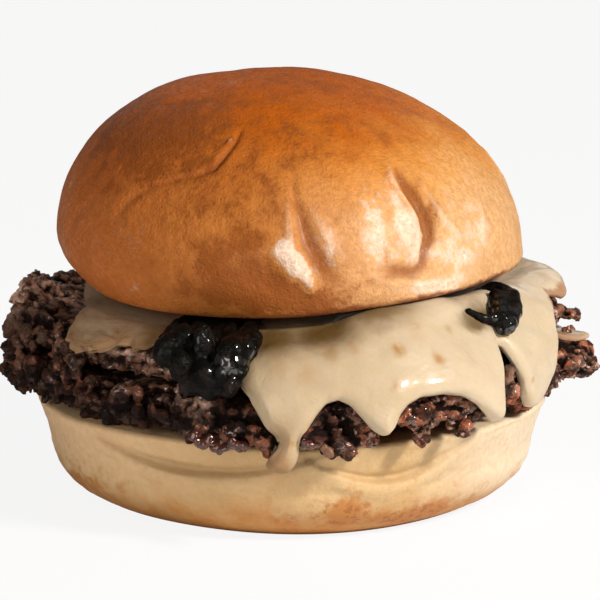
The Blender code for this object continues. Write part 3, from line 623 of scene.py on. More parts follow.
def grow(tree, **values):
    """A step that runs a tree of geometry nodes with those inputs."""
    def step(workpiece):
        modifier = workpiece.modifiers.new(tree.name, "NODES")
        modifier.node_group = tree
        for item in tree.interface.items_tree:
            key = item.name.lower().replace(" ", "_")
            if item.in_out == "INPUT" and key in values:
                modifier[item.identifier] = values[key]
    return step


def add_node(tree, kind, inputs=None, **choices):
    """Adds a node, makes its choices, and sets or links its inputs."""
    node = tree.nodes.new(kind)
    for name, value in choices.items():
        setattr(node, name, value)
    for key, value in (inputs or {}).items():
        socket = node.inputs[key]
        if isinstance(value, bpy.types.NodeSocket):
            tree.links.new(value, socket)
        else:
            socket.default_value = value
    return node


def new_tree(name, kind, inputs, outputs):
    """A node group with named inputs and outputs, and its two end nodes."""
    tree = bpy.data.node_groups.new(name, kind)
    for label, socket, default in inputs:
        made = tree.interface.new_socket(name=label, in_out="INPUT", socket_type=socket)
        if default is not None:
            made.default_value = default
    for label, socket in outputs:
        tree.interface.new_socket(name=label, in_out="OUTPUT", socket_type=socket)
    return tree, tree.nodes.new("NodeGroupInput"), tree.nodes.new("NodeGroupOutput")


def put_bits(tree, end, points, size, facing_seed, levels, finish, kept=None):
    """Puts a turned and scaled bit on each point, makes all of it real and gives it its material."""
    facing = add_node(tree, "FunctionNodeRandomValue",
                      {0: (-math.pi,) * 3, 1: (math.pi,) * 3, "Seed": facing_seed}, data_type="FLOAT_VECTOR")
    bit = add_node(tree, "GeometryNodeMeshIcoSphere", {"Radius": 1.0, "Subdivisions": levels})
    placed = add_node(tree, "GeometryNodeInstanceOnPoints",
                      {"Points": points, "Instance": bit.outputs["Mesh"],
                       "Rotation": facing.outputs[0], "Scale": size})
    together = add_node(tree, "GeometryNodeJoinGeometry")
    if kept:
        tree.links.new(kept, together.inputs[0])
    tree.links.new(placed.outputs[0], together.inputs[0])
    real = add_node(tree, "GeometryNodeRealizeInstances", {0: together.outputs[0]})
    painted = add_node(tree, "GeometryNodeSetMaterial", {"Geometry": real.outputs[0], "Material": finish})
    tree.links.new(painted.outputs[0], end.inputs[0])


def build_scatter():
    """Scatters small rounded bits over a surface, as thickly as its stored value says."""
    tree, start, end = new_tree(
        "scatter_bits", "GeometryNodeTree",
        (("Surface", "NodeSocketGeometry", None), ("Keep surface", "NodeSocketBool", False),
         ("Density", "NodeSocketFloat", 100000.0), ("Smallest", "NodeSocketVector", (0.001, 0.0006, 0.0006)),
         ("Largest", "NodeSocketVector", (0.002, 0.001, 0.001)), ("Seed", "NodeSocketInt", 1),
         ("Finish", "NodeSocketMaterial", None)),
        (("Bits", "NodeSocketGeometry"),))
    given = start.outputs
    share = add_node(tree, "GeometryNodeInputNamedAttribute", {"Name": "spread"}, data_type="FLOAT")
    points = add_node(tree, "GeometryNodeDistributePointsOnFaces",
                      {"Mesh": given["Surface"], "Seed": given["Seed"],
                       "Density": calc(tree, "MULTIPLY", given["Density"], share.outputs[0])},
                      distribute_method="RANDOM")
    size = add_node(tree, "FunctionNodeRandomValue",
                    {0: given["Smallest"], 1: given["Largest"], "Seed": given["Seed"]},
                    data_type="FLOAT_VECTOR")
    kept = add_node(tree, "GeometryNodeSwitch", {"Switch": given["Keep surface"], "True": given["Surface"]},
                    input_type="GEOMETRY")
    put_bits(tree, end, points.outputs["Points"], size.outputs[0], 7, 1, given["Finish"], kept.outputs[0])


def build_placed():
    """Puts a small rounded bit of its stored size on each point of a guide."""
    tree, start, end = new_tree(
        "placed_bits", "GeometryNodeTree",
        (("Guide", "NodeSocketGeometry", None), ("Seed", "NodeSocketInt", 1),
         ("Finish", "NodeSocketMaterial", None)),
        (("Bits", "NodeSocketGeometry"),))
    given = start.outputs
    points = add_node(tree, "GeometryNodeMeshToPoints", {"Mesh": given["Guide"]})
    size = add_node(tree, "GeometryNodeInputNamedAttribute", {"Name": "size"}, data_type="FLOAT")
    uneven = add_node(tree, "FunctionNodeRandomValue",
                      {0: (0.75, 0.75, 0.6), 1: (1.3, 1.05, 0.95), "Seed": given["Seed"]},
                      data_type="FLOAT_VECTOR")
    scaled = add_node(tree, "ShaderNodeVectorMath", {0: uneven.outputs[0], "Scale": size.outputs[0]},
                      operation="SCALE")
    put_bits(tree, end, points.outputs[0], scaled.outputs[0], 5, 2, given["Finish"])


def new_group(name, result, **defaults):
    """A shader group that reads a place and those inputs: its tree, its inputs and its result."""
    inputs = [("Place", "NodeSocketVector", None)]
    inputs += [(label.replace("_", " "), "NodeSocketFloat", value) for label, value in defaults.items()]
    tree, start, end = new_tree(name, "ShaderNodeTree", inputs, ((result, "NodeSocketFloat"),))
    return tree, start.outputs, end.inputs[result]


def band(tree, value, low, high, start=0.0, end=1.0):
    """Maps a value to a smooth step between low and high."""
    node = add_node(tree, "ShaderNodeMapRange", {"Value": value, "From Min": low, "From Max": high,
                    "To Min": start, "To Max": end}, interpolation_type="SMOOTHSTEP")
    return node.outputs["Result"]


def calc(tree, operation, *values):
    """The result of one sum on sockets and numbers."""
    return add_node(tree, "ShaderNodeMath", dict(enumerate(values)), operation=operation).outputs[0]


def cloudy(tree, place, scale, detail, roughness=0.5):
    """A noise texture's outputs."""
    return add_node(tree, "ShaderNodeTexNoise", {"Vector": place, "Scale": scale, "Detail": detail,
                    "Roughness": roughness}).outputs


def build_mottle():
    """A soft blotchy mask from noise."""
    tree, given, result = new_group("mottle", "Mask", Size=0.01, Low=0.4, High=0.6, Detail=3.0)
    scale = calc(tree, "DIVIDE", 1.0, given["Size"])
    blotch = cloudy(tree, given["Place"], scale, given["Detail"], 0.55)[0]
    tree.links.new(band(tree, blotch, given["Low"], given["High"]), result)


def build_flecks():
    """A mask of scattered uneven spots."""
    tree, given, result = new_group("flecks", "Mask", Spacing=0.004, Reach=0.3, Ragged=0.3)
    scale = calc(tree, "DIVIDE", 1.0, given["Spacing"])
    cells = add_node(tree, "ShaderNodeTexVoronoi", {"Vector": given["Place"], "Scale": scale})
    rag = cloudy(tree, given["Place"], calc(tree, "MULTIPLY", scale, 2.7), 3.0)[0]
    shift = calc(tree, "SUBTRACT", rag, 0.5)
    uneven = calc(tree, "MULTIPLY_ADD", shift, given["Ragged"], cells.outputs["Distance"])
    inner = calc(tree, "MULTIPLY", given["Reach"], 0.5)
    tree.links.new(band(tree, uneven, inner, given["Reach"], 1.0, 0.0), result)


def build_lumps():
    """A tone of its own for each small uneven lump of a surface."""
    tree, given, result = new_group("lumps", "Tone", Size=0.0025, Ragged=0.5)
    scale = calc(tree, "DIVIDE", 1.0, given["Size"])
    small = add_node(tree, "ShaderNodeVectorMath", {0: given["Place"], "Scale": scale}, operation="SCALE")
    rag = cloudy(tree, small.outputs[0], 1.3, 2.0)["Color"]
    shift = add_node(tree, "ShaderNodeVectorMath", {0: rag, "Scale": given["Ragged"]}, operation="SCALE")
    moved = add_node(tree, "ShaderNodeVectorMath", {0: small.outputs[0], 1: shift.outputs[0]},
                     operation="ADD")
    cells = add_node(tree, "ShaderNodeTexVoronoi", {"Vector": moved.outputs[0], "Scale": 1.0})
    parts = add_node(tree, "ShaderNodeSeparateColor", {0: cells.outputs["Color"]})
    tree.links.new(parts.outputs[0], result)


def build_grain():
    """The height of a skin's fine relief: soft wrinkles with tiny pits in them."""
    tree, given, result = new_group("grain", "Height", Wrinkles=0.003, Pits=0.0006, Pit_share=0.4)
    soft = cloudy(tree, given["Place"], calc(tree, "DIVIDE", 1.0, given["Wrinkles"]), 4.0, 0.6)[0]
    fine = cloudy(tree, given["Place"], calc(tree, "DIVIDE", 1.0, given["Pits"]), 2.0)[0]
    tree.links.new(calc(tree, "MULTIPLY_ADD", fine, given["Pit share"], soft), result)


class Paint:
    """A Principled material in the making. Its values are numbers, colours or nodes' sockets."""

    def __init__(self, name, roughness, **plain):
        self.material = bpy.data.materials.new(name)
        self.material.use_nodes = True
        self.tree = self.material.node_tree
        self.shader = self.tree.nodes["Principled BSDF"]
        self.shader.inputs["Roughness"].default_value = roughness
        for label, value in plain.items():
            self.shader.inputs[label.replace("_", " ")].default_value = value
        self.place = self.tree.nodes.new("ShaderNodeTexCoord").outputs["Object"]
        self.x, self.y, self.z = add_node(self.tree, "ShaderNodeSeparateXYZ", {0: self.place}).outputs

    def effect(self, name, **values):
        """Places a shared effect."""
        inputs = {key.capitalize().replace("_", " "): value for key, value in values.items()}
        return add_node(self.tree, "ShaderNodeGroup", {"Place": self.place, **inputs},
                        node_tree=bpy.data.node_groups[name]).outputs[0]

    def mottle(self, size, low, high, detail=3.0):
        """A soft blotchy mask."""
        return self.effect("mottle", size=size, low=low, high=high, detail=detail)

    def flecks(self, spacing, reach, ragged):
        """A mask of uneven spots."""
        return self.effect("flecks", spacing=spacing, reach=reach, ragged=ragged)

    def stored(self, name):
        """A value that the piece's vertices carry."""
        return add_node(self.tree, "ShaderNodeAttribute", attribute_name=name).outputs["Fac"]

    def band(self, value, low, high, start=0.0, end=1.0):
        """A smooth step between low and high."""
        return band(self.tree, value, low, high, start, end)

    def calc(self, operation, *values):
        """The result of one sum."""
        return calc(self.tree, operation, *values)

    def times(self, value, *others):
        """A product."""
        for other in others:
            value = self.calc("MULTIPLY", value, other)
        return value

    def mix(self, factor, first, second):
        """Mixes two colours."""
        node = add_node(self.tree, "ShaderNodeMix", data_type="RGBA", blend_type="MIX")
        for index, value in ((0, factor), (6, first), (7, second)):
            if isinstance(value, bpy.types.NodeSocket):
                self.tree.links.new(value, node.inputs[index])
            else:
                node.inputs[index].default_value = value if index == 0 else (*value[:3], 1.0)
        return node.outputs[2]

    def lay(self, factor, colour):
        """Lays a colour over the colour so far, where the factor says."""
        self.colour = self.mix(factor, self.colour, colour)

    def finish(self, depth, wrinkles, pits, pit_share, roughness=None, coat=None, relief=None):
        """Links colour, gloss and fine relief to the shader, and returns the material."""
        height = self.effect("grain", wrinkles=wrinkles, pits=pits, pit_share=pit_share)
        if relief is not None:
            height = self.times(height, relief)
        bump = add_node(self.tree, "ShaderNodeBump", {"Height": height, "Strength": 1.0, "Distance": depth})
        links = {"Base Color": self.colour, "Normal": bump.outputs[0], "Roughness": roughness,
                 "Coat Weight": coat}
        for label, socket in links.items():
            if socket is not None:
                self.tree.links.new(socket, self.shader.inputs[label])
        return self.material


def crust_material(look):
    """The crown's glazed crust: dark on top, golden at the sides, with a browned lower lip, painted shade and
    painted highlights.
    """
    paint = Paint("glazed_crust", 0.5, Subsurface_Weight=0.04, Subsurface_Radius=(0.003, 0.0012, 0.0005),
                  Coat_Roughness=0.3, Specular_IOR_Level=0.1)
    broad = paint.mottle(0.028, 0.35, 0.65)
    medium = paint.mottle(0.0045, 0.3, 0.7, 5.0)
    fine = paint.mottle(0.0011, 0.35, 0.65, 5.0)
    height = paint.calc("MULTIPLY_ADD", broad, 0.006, paint.z)
    top = paint.band(height, 0.066, 0.092)
    right_side = paint.mix(paint.band(height, 0.066, 0.084), look.right_colour, look.top_right_colour)
    # Painted light and shade: the paler right and the red-brown left are partly the crust's own colour and
    # partly painted light from the key on the right and painted shade on the left.
    paint.colour = paint.mix(paint.band(paint.x, -0.012, 0.03), look.side_colour, right_side)
    paint.lay(top, look.top_colour)
    paint.lay(paint.times(paint.band(paint.x, -0.005, -0.045), 0.6), look.red_colour)
    # Blotches plus the stored tone: browner where high, with painted shade from the table's shaded rows, and
    # paler where low, the pale patches being painted highlights.
    blotches = paint.calc("MULTIPLY_ADD", medium, -0.6, paint.calc("MULTIPLY_ADD", fine, -0.4, 0.5))
    tone = paint.calc("ADD", blotches, paint.stored("tone"))
    paint.lay(paint.band(tone, 0.2, 1.0, 0.0, 0.85), look.brown_and_shade_colour)
    paint.lay(paint.band(tone, -0.2, -0.8, 0.0, 0.85), look.pale_colour)
    # Painted light on the creases: the ridges are painted pale as highlights and the crease lines dark as
    # shade.
    crease = paint.stored("crease")
    paint.lay(paint.band(crease, 0.1, 1.0, 0.0, 0.7), look.pale_colour)
    paint.lay(paint.band(crease, -0.1, -1.1, 0.0, 0.8), look.brown_and_shade_colour)
    # Painted highlights: pinkish glints on the pale, lit parts of the crust.
    specks = paint.flecks(0.0011, 0.4, 1.2)
    paint.lay(paint.times(specks, paint.band(tone, 0.1, -0.7, 0.0, 0.5)), look.glint_colour)
    paint.lay(paint.times(paint.stored("lip"), paint.band(medium, -0.4, 0.8)), look.lip_colour)
    paint.lay(paint.times(fine, 0.3), look.brown_and_shade_colour)
    coat = paint.times(paint.band(medium, 0.0, 1.0, 0.0, 0.12), paint.band(top, 0.0, 0.6, 1.0, 0.0))
    return paint.finish(0.00045, 0.0018, 0.0005, 0.6, paint.band(fine, 0.0, 1.0, 0.44, 0.66), coat)


def crumb_material(look):
    """The heel's pale soft side with its toasted foot."""
    paint = Paint("heel_crumb", 0.62, Subsurface_Weight=0.12, Subsurface_Radius=(0.004, 0.002, 0.001))
    medium = paint.mottle(0.006, 0.35, 0.65)
    fine = paint.mottle(0.0014, 0.3, 0.7, 4.0)
    paint.colour = look.side_colour
    paint.lay(paint.mottle(0.02, 0.3, 0.7), look.cream_colour)
    height = paint.calc("MULTIPLY_ADD", medium, -0.003, paint.z)
    paint.lay(paint.band(height, 0.0105, -0.001), look.foot_colour)
    # Painted light: the heel's left is painted paler to lift the shade that falls there.
    left = paint.band(paint.x, -0.008, -0.05)
    paint.lay(paint.times(left, paint.band(height, 0.002, 0.013, 0.0, 0.75)), look.lit_left_colour)
    right = paint.times(paint.band(paint.x, 0.02, 0.05), paint.band(paint.z, 0.002, 0.008), 0.8)
    paint.lay(right, look.white_colour)
    toasted = paint.stored("toasted")
    blotches = paint.calc("MULTIPLY_ADD", medium, 0.5, paint.calc("MULTIPLY_ADD", fine, 0.3, toasted))
    paint.lay(paint.band(blotches, 0.6, 1.25, 0.0, 0.9), look.patch_colour)
    spots = paint.flecks(0.0019, 0.5, 1.4)
    paint.lay(paint.times(spots, paint.band(toasted, 0.2, 0.9, 0.0, 0.85)), look.toast_colour)
    paint.lay(paint.times(paint.stored("crease"), 0.45), look.fold_colour)
    paint.lay(paint.times(fine, 0.18), look.foot_colour)
    paint.lay(paint.band(paint.z, 0.0014, 0.0), look.toast_colour)
    return paint.finish(0.00035, 0.004, 0.0008, 0.4)


def beef_material(look):
    """Smashed and seared mince: near-black char, brown and red meat, and wet fat."""
    paint = Paint("seared_beef", 0.4, Coat_Roughness=0.14, Coat_IOR=2.0, Specular_IOR_Level=0.12)
    medium = paint.mottle(0.0022, 0.4, 0.62)
    lumps = paint.effect("lumps", size=0.0034, ragged=1.4)
    hollow, fatty = paint.stored("hollow"), paint.stored("fatty")
    # Painted shade: the mince is painted brown on its ridges and char dark in its hollows.
    ridge = paint.band(paint.calc("MULTIPLY_ADD", medium, -0.3, hollow), 0.0, -0.65)
    paint.colour = look.char_and_shade_colour
    paint.lay(ridge, look.brown_colour)
    right = paint.calc("MAXIMUM", paint.band(paint.x, -0.01, 0.025, 0.3, 1.2), fatty)
    paint.lay(paint.times(paint.mottle(0.007, 0.42, 0.6), right, ridge), look.red_colour)
    paint.lay(paint.band(lumps, 0.5, 0.2, 0.0, 0.85), look.char_and_shade_colour)
    pale = paint.times(paint.band(lumps, 0.68, 0.92), ridge)
    paint.lay(paint.times(pale, paint.band(fatty, 0.0, 1.0, 0.45, 1.0)), look.tan_colour)
    # Painted light and shade on the left heap: its upper part paler tan as lit, its lower part char dark as
    # shaded.
    left = paint.band(paint.x, -0.005, -0.025)
    paint.lay(paint.times(left, ridge, paint.band(paint.z, 0.030, 0.036, 0.0, 0.3)), look.tan_colour)
    paint.lay(paint.times(left, paint.band(paint.z, 0.032, 0.025, 0.0, 0.65)), look.char_and_shade_colour)
    paint.lay(paint.times(paint.mottle(0.0006, 0.35, 0.65, 4.0), 0.4), look.char_and_shade_colour)
    # Painted shade: the hollows darkened to char.
    paint.lay(paint.band(hollow, 0.0, 0.4), look.char_and_shade_colour)
    # Pinkish spots on the ridges, partly bits of fat and partly painted glints of the wet meat.
    spots = paint.times(paint.flecks(0.0019, 0.3, 1.1), paint.band(hollow, 0.3, -0.2, 0.0, 1.2), fatty)
    paint.lay(spots, look.fat_and_glint_colour)
    smear = paint.times(paint.stored("smear"), paint.band(hollow, 0.25, -0.25, 0.3, 1.0))
    paint.lay(smear, look.smear_colour)
    wet = paint.times(paint.mottle(0.0024, 0.44, 0.54), paint.band(fatty, 0.0, 0.7, 0.3, 1.0),
                      paint.band(hollow, 0.15, -0.3, 0.0, 1.0))
    drops = paint.flecks(0.0014, 0.5, 0.8)
    coat = paint.times(paint.band(wet, 0.1, 0.7), paint.band(drops, 0.0, 1.0, 0.1, 1.0))
    return paint.finish(0.0007, 0.001, 0.00035, 0.6, paint.band(wet, 0.0, 1.0, 0.65, 0.35), coat)


def cheese_material(look):
    """Melted cheese, soft and a little see-through, with toasted specks and a browned edge."""
    paint = Paint("melted_cheese", 0.3, Specular_IOR_Level=0.15, Subsurface_Weight=0.25,
                  Subsurface_Radius=(0.005, 0.003, 0.0012), Coat_Roughness=0.1)
    medium = paint.mottle(0.003, 0.35, 0.65)
    right = paint.times(paint.band(paint.x, 0.005, 0.042), 0.6)
    paint.colour = look.body_colour
    paint.lay(paint.calc("MULTIPLY_ADD", paint.mottle(0.012, 0.35, 0.65), 0.35, right), look.pale_colour)
    paint.lay(paint.times(medium, 0.2), look.deep_colour)
    specks = paint.times(paint.flecks(0.011, 0.12, 0.35), 0.5)
    paint.lay(paint.calc("ADD", specks, paint.stored("specks")), look.speck_colour)
    paint.lay(paint.stored("browned"), look.browned_colour)
    stained = paint.stored("stained")
    paint.lay(stained, look.stain_colour)
    # Dark juice runs, and painted shade under the crown's front lip.
    paint.lay(paint.stored("dark"), look.runs_and_shade_colour)
    rough = paint.calc("MAXIMUM", paint.band(medium, 0.0, 1.0, 0.28, 0.42),
                       paint.band(stained, 0.0, 0.35, 0.28, 0.7))
    coat = paint.times(paint.band(paint.mottle(0.01, 0.4, 0.6), 0.0, 1.0, 0.1, 0.6),
                       paint.band(stained, 0.0, 0.35, 1.0, 0.05))
    return paint.finish(0.0005, 0.005, 0.001, 0.12, rough, coat)


def onion_material(look):
    """Onion fried black and wet."""
    paint = Paint("dark_onion", 0.4, Coat_Roughness=0.1, Coat_IOR=2.0, Specular_IOR_Level=0.08)
    paint.colour = look.black_colour
    paint.lay(paint.mottle(0.004, 0.5, 0.75), look.brown_colour)
    wet = paint.stored("wet")
    coat = paint.times(wet, paint.band(paint.flecks(0.0018, 0.6, 0.6), 0.0, 1.0, 0.04, 1.0))
    rough = paint.band(paint.mottle(0.0012, 0.35, 0.65), 0.0, 1.0, 0.35, 0.55)
    relief = paint.band(wet, 0.0, 1.0, 0.6, 3.0)
    return paint.finish(0.0009, 0.0024, 0.0012, 0.5, rough, coat, relief)


def juice_material(look):
    """Dark red meat juice and fat in beads."""
    paint = Paint("meat_juice", 0.08, Coat_Weight=0.6, Coat_Roughness=0.05, Subsurface_Weight=0.05,
                  Subsurface_Radius=(0.002, 0.0005, 0.0003))
    paint.colour = look.juice_colour
    paint.lay(paint.mottle(0.003, 0.3, 0.7), look.juice_light_colour)
    return paint.finish(0.0002, 0.002, 0.001, 0.2)


def bits_material(look):
    """Pale crisped fat and crumbs of meat."""
    paint = Paint("crisp_bits", 0.45, Coat_Weight=0.2)
    paint.colour = look.bits_colour
    paint.lay(paint.mottle(0.005, 0.4, 0.6), look.bits_dark_colour)
    return paint.finish(0.0003, 0.001, 0.0004, 0.4)


def build_crown():
    """The top half of the roll, with its creased and glazed skin."""
    azimuth = around(CROWN_COLUMNS)
    lifts = 90.0 * (1.0 - np.linspace(0.0, 1.0, CROWN_RINGS) ** 0.92)
    dome = [crown_point(azimuth, lift) for lift in lifts]
    waist = crown_waist(azimuth)
    skirt = [crown_skirt(azimuth, (waist - 1.2) * share) for share in np.linspace(0.06, 1.0, 14)]
    foot = crown_skirt(azimuth, waist - 1.2)
    edge_radius = np.hypot(foot[:, 0], foot[:, 1])
    turned = []
    for angle in np.radians((18.0, 36.0, 54.0, 72.0, 90.0)):
        radius = edge_radius - 1.3 * (1.0 - np.cos(angle)) - 0.1
        turned.append(at_azimuth(azimuth, radius, 1.2 - 1.1 * np.sin(angle)))
    cut = [at_azimuth(azimuth, (edge_radius - 1.4) * share, 0.1 + 0.2 * (1 - share**2))
           for share in (0.9, 0.6, 0.3, 0.0)]
    mesh = ring_mesh("crown", np.array(dome + skirt + turned + cut))
    points = mesh_points(mesh)
    azimuths, radius, height = cylinder_of(points)
    open_side = smooth(0.2, 1.4, height)
    rise = sum(line_rise(points, line) for line in CROWN_LINES) * settings("crown").crease_strength
    skin = 0.35 * waves(points, 15.0, 1) + 0.14 * waves(points, 5.0, 2) + 0.05 * waves(points, 1.8, 3)
    side = smooth(0.0, 14.0, height) * (1.0 - smooth(20.0, 34.0, height))
    upright = 0.12 * waves(points * (1.0, 1.0, 0.22), 1.7, 4) * side
    lip = bell(height - 1.0, 1.5) * (0.25 * waves(points, 2.2, 5) + 0.15)
    swell(mesh, (rise + skin + upright + lip) * open_side)
    store(mesh, "crease", rise)
    above = crown_waist(azimuths)
    lift = np.degrees(np.arcsin(np.clip((height - above) / (CROWN_TOP_HEIGHT - above), -1.0, 1.0)))
    tone = 0.06 + 0.18 * waves(points, 9.0, 7, 3) + 0.22 * smooth(28.0, 52.0, lift)
    # The table adds browning, painted shade and painted highlights to the stored tone.
    for middle, at_lift, half, tall, amount in CROWN_TONES_AND_PAINTED_LIGHT:
        tone = tone + amount * bell(turn(azimuths, middle), half) * bell(lift - at_lift, tall)
    store(mesh, "tone", tone)
    browned = smooth(-35.0, 20.0, azimuths) * (1.0 - smooth(100.0, 150.0, azimuths))
    edge = 1.0 - smooth(0.8, 2.0, height + 0.6 * waves(points, 2.4, 6, 3))
    store(mesh, "lip", np.clip(edge * (0.4 + 0.6 * browned), 0, 1))
    middle, half, rise = LIP_LIFT
    points = mesh_points(mesh)
    points[:, 2] += (rise * bell(turn(azimuths, middle), half, 4) * smooth(38.0, 46.0, radius)
                     * (1.0 - smooth(0.0, 7.0, height)))
    move_points(mesh, crown_to_stack(points))
    return mesh


def build_heel():
    """The bottom half of the roll, with soft folds where the load presses it."""
    azimuth = around(HEEL_COLUMNS)
    top_radius = heel_radius(azimuth, 20.6)
    cut = [at_azimuth(azimuth, share * (top_radius - 1.1), HEEL_CUT_HEIGHT)
           for share in (0.0, 0.4, 0.7, 0.9, 1.0)]
    turned = [at_azimuth(azimuth, top_radius - 1.1 * (1 - np.sin(angle)), 20.5 + 1.0 * np.cos(angle))
              for angle in np.radians((25.0, 50.0, 75.0))]
    side = [at_azimuth(azimuth, heel_radius(azimuth, height), height)
            for height in np.linspace(20.4, 0.7, HEEL_RINGS)]
    foot = [at_azimuth(azimuth, heel_radius(azimuth, 0.7) - back, height)
            for back, height in ((0.35, 0.4), (0.9, 0.15), (1.8, 0.0))]
    base = [at_azimuth(azimuth, HEEL_BASE_RADIUS * share, 0.0) for share in (0.9, 0.5, 0.0)]
    mesh = ring_mesh("heel", np.array(cut + turned + side + foot + base))
    points = mesh_points(mesh)
    azimuths, _, height = cylinder_of(points)
    shown = smooth(0.2, 2.5, height) * (1.0 - smooth(19.6, 21.2, height))
    skin = 0.3 * waves(points, 12.0, 11) + 0.14 * waves(points, 4.0, 12) + 0.05 * waves(points, 1.5, 13)
    creases = 0.16 * waves(points * (1.0, 1.0, 2.6), 5.0, 14)
    swell(mesh, (skin + creases) * shown)
    folds = [heel_fold(azimuths, *fold) for fold in HEEL_FOLDS]
    store(mesh, "crease", np.max([inside * bell(height - line - 0.8, 1.1) for inside, line in folds], axis=0))
    foot_tone = 0.25 * bell(height - 3.0, 4.0, 4)
    store(mesh, "toasted", patches(TOASTED, azimuths, height, least=foot_tone))
    return mesh


def cell_places(cells, seed):
    """A scattered place in each cell of a grid, the same at every run."""
    mixed = (cells * (73856093, 19349663, 83492791)).sum(axis=-1) + seed * 15485863
    mixed = (mixed ^ (mixed >> 13)) * 1274126177
    mixed = (mixed ^ (mixed >> 16)) * 668265263
    return np.stack([(mixed >> shift & 1023) / 1023.0 for shift in (3, 14, 25)], axis=-1)


def mince(points, size, seed):
    """1 on each lump of mince of that size and 0 in the gaps between the lumps."""
    warp = np.stack([waves(points, size / 1.6, seed + 40 + axis) for axis in range(3)], axis=-1)
    places = points / size + 0.45 * warp
    cells = np.floor(places).astype(np.int64)
    nearest = np.full(len(points), np.inf)
    following = nearest.copy()
    for step in itertools.product((-1, 0, 1), repeat=3):
        beside = cells + step
        distance = np.linalg.norm(beside + cell_places(beside, seed) - places, axis=-1)
        following = np.minimum(following, np.maximum(nearest, distance))
        nearest = np.minimum(nearest, distance)
    return smooth(0.02, 0.38, following - nearest)


def crags(points, size, seed):
    """Torn relief with sharp edges, between about 0 and 1, with forms of that size."""
    shift = Vector((seed * 7.7, seed * 2.3, seed * 4.1))
    return np.array([noise.turbulence(Vector(point) / size + shift, 3, True) for point in points]) * 0.6


def hollows(mesh, repeats):
    """How far each vertex lies below the smoothed skin round it, in millimetres."""
    points = mesh_points(mesh)
    ends = np.empty(len(mesh.edges) * 2, np.int32)
    mesh.edges.foreach_get("vertices", ends)
    first, second = ends.reshape(-1, 2).T
    here, other = np.concatenate((first, second)), np.concatenate((second, first))
    count = np.maximum(1, np.bincount(here, minlength=len(points)))
    flat = points.copy()
    for _ in range(repeats):
        sums = [np.bincount(here, flat[other, axis], len(points)) for axis in range(3)]
        flat = np.stack(sums, axis=1) / count[:, None]
    return ((flat - points) * mesh_normals(mesh)).sum(axis=1)


def joined(name, *meshes):
    """One mesh of several."""
    form = bmesh.new()
    for mesh in meshes:
        form.from_mesh(mesh)
    made = bpy.data.meshes.new(name)
    form.to_mesh(made)
    form.free()
    return made


def drop_islands(mesh):
    """Deletes the small loose islands of a mesh."""
    form = bmesh.new()
    form.from_mesh(mesh)
    seen, loose = set(), []
    for vertex in form.verts:
        if vertex in seen:
            continue
        seen.add(vertex)
        island, queue = [vertex], [vertex]
        while queue:
            here = queue.pop()
            for edge in here.link_edges:
                other = edge.other_vert(here)
                if other not in seen:
                    seen.add(other)
                    queue.append(other)
                    island.append(other)
        if len(island) < SMALLEST_ISLAND:
            loose.extend(island)
    bmesh.ops.delete(form, geom=loose, context="VERTS")
    form.to_mesh(mesh)
    form.free()


def flatten_middle(mesh):
    """Joins the small faces in the hidden middle of a patty."""
    form = bmesh.new()
    form.from_mesh(mesh)
    inner = [vertex for vertex in form.verts if vertex.co.xy.length < HIDDEN_RADIUS * MM]
    # A dict keeps the edges in order, so every run joins the same faces.
    edges = dict.fromkeys(edge for vertex in inner for edge in vertex.link_edges)
    bmesh.ops.dissolve_limit(form, angle_limit=math.radians(14.0), verts=inner, edges=list(edges))
    bmesh.ops.triangulate(form, faces=[face for face in form.faces if len(face.verts) > 4])
    form.to_mesh(mesh)
    form.free()


def placed_bits(table, seed):
    """Small rounded bits at the azimuths, heights and radii of a table, each of its own half size."""
    azimuth, height, radius, size = np.array(table).T
    guide = bpy.data.meshes.new("guide")
    guide.from_pydata((at_azimuth(azimuth, radius, height) * MM).tolist(), [], [])
    store(guide, "size", size * MM)
    return evaluated(guide, grow(bpy.data.node_groups["placed_bits"], seed=seed))


def fused_bits(table, seed, rough):
    """Placed bits that run together where they touch, with uneven skins."""
    mesh = evaluated(placed_bits(table, seed), fuse(0.22), soften(0.5, 2))
    points = mesh_points(mesh)
    swell(mesh, rough * (0.45 * waves(points, 1.8, seed) + 0.5 * (0.4 - crags(points, 1.3, seed + 1))))
    return mesh


def seam_mince(look, seed):
    """Bits of mince that bridge the joint between the patties on the left."""
    start, end, low, high = SEAM
    azimuth, height = np.meshgrid(np.linspace(start, end, SEAM_COLUMNS), np.linspace(low, high, SEAM_ROWS))
    points = at_azimuth(azimuth, *drape(azimuth, reach_to_height(azimuth, height), -1.2)) * MM
    row, column = np.meshgrid(np.arange(SEAM_ROWS - 1), np.arange(SEAM_COLUMNS - 1), indexing="ij")
    corner = (row * SEAM_COLUMNS + column).ravel()
    faces = np.stack((corner, corner + 1, corner + SEAM_COLUMNS + 1, corner + SEAM_COLUMNS), axis=1)
    strip = bpy.data.meshes.new("seam")
    strip.from_pydata(points.reshape(-1, 3).tolist(), [], faces.tolist())
    store(strip, "spread", np.ones(len(strip.vertices)))
    large = look.largest_crag
    bits = grow(bpy.data.node_groups["scatter_bits"], density=look.crag_density * 4.0,
                smallest=(large * 0.5, large * 0.3, large * 0.3),
                largest=(large * 1.2, large * 0.8, large * 0.8), seed=seed)
    return evaluated(strip, bits)


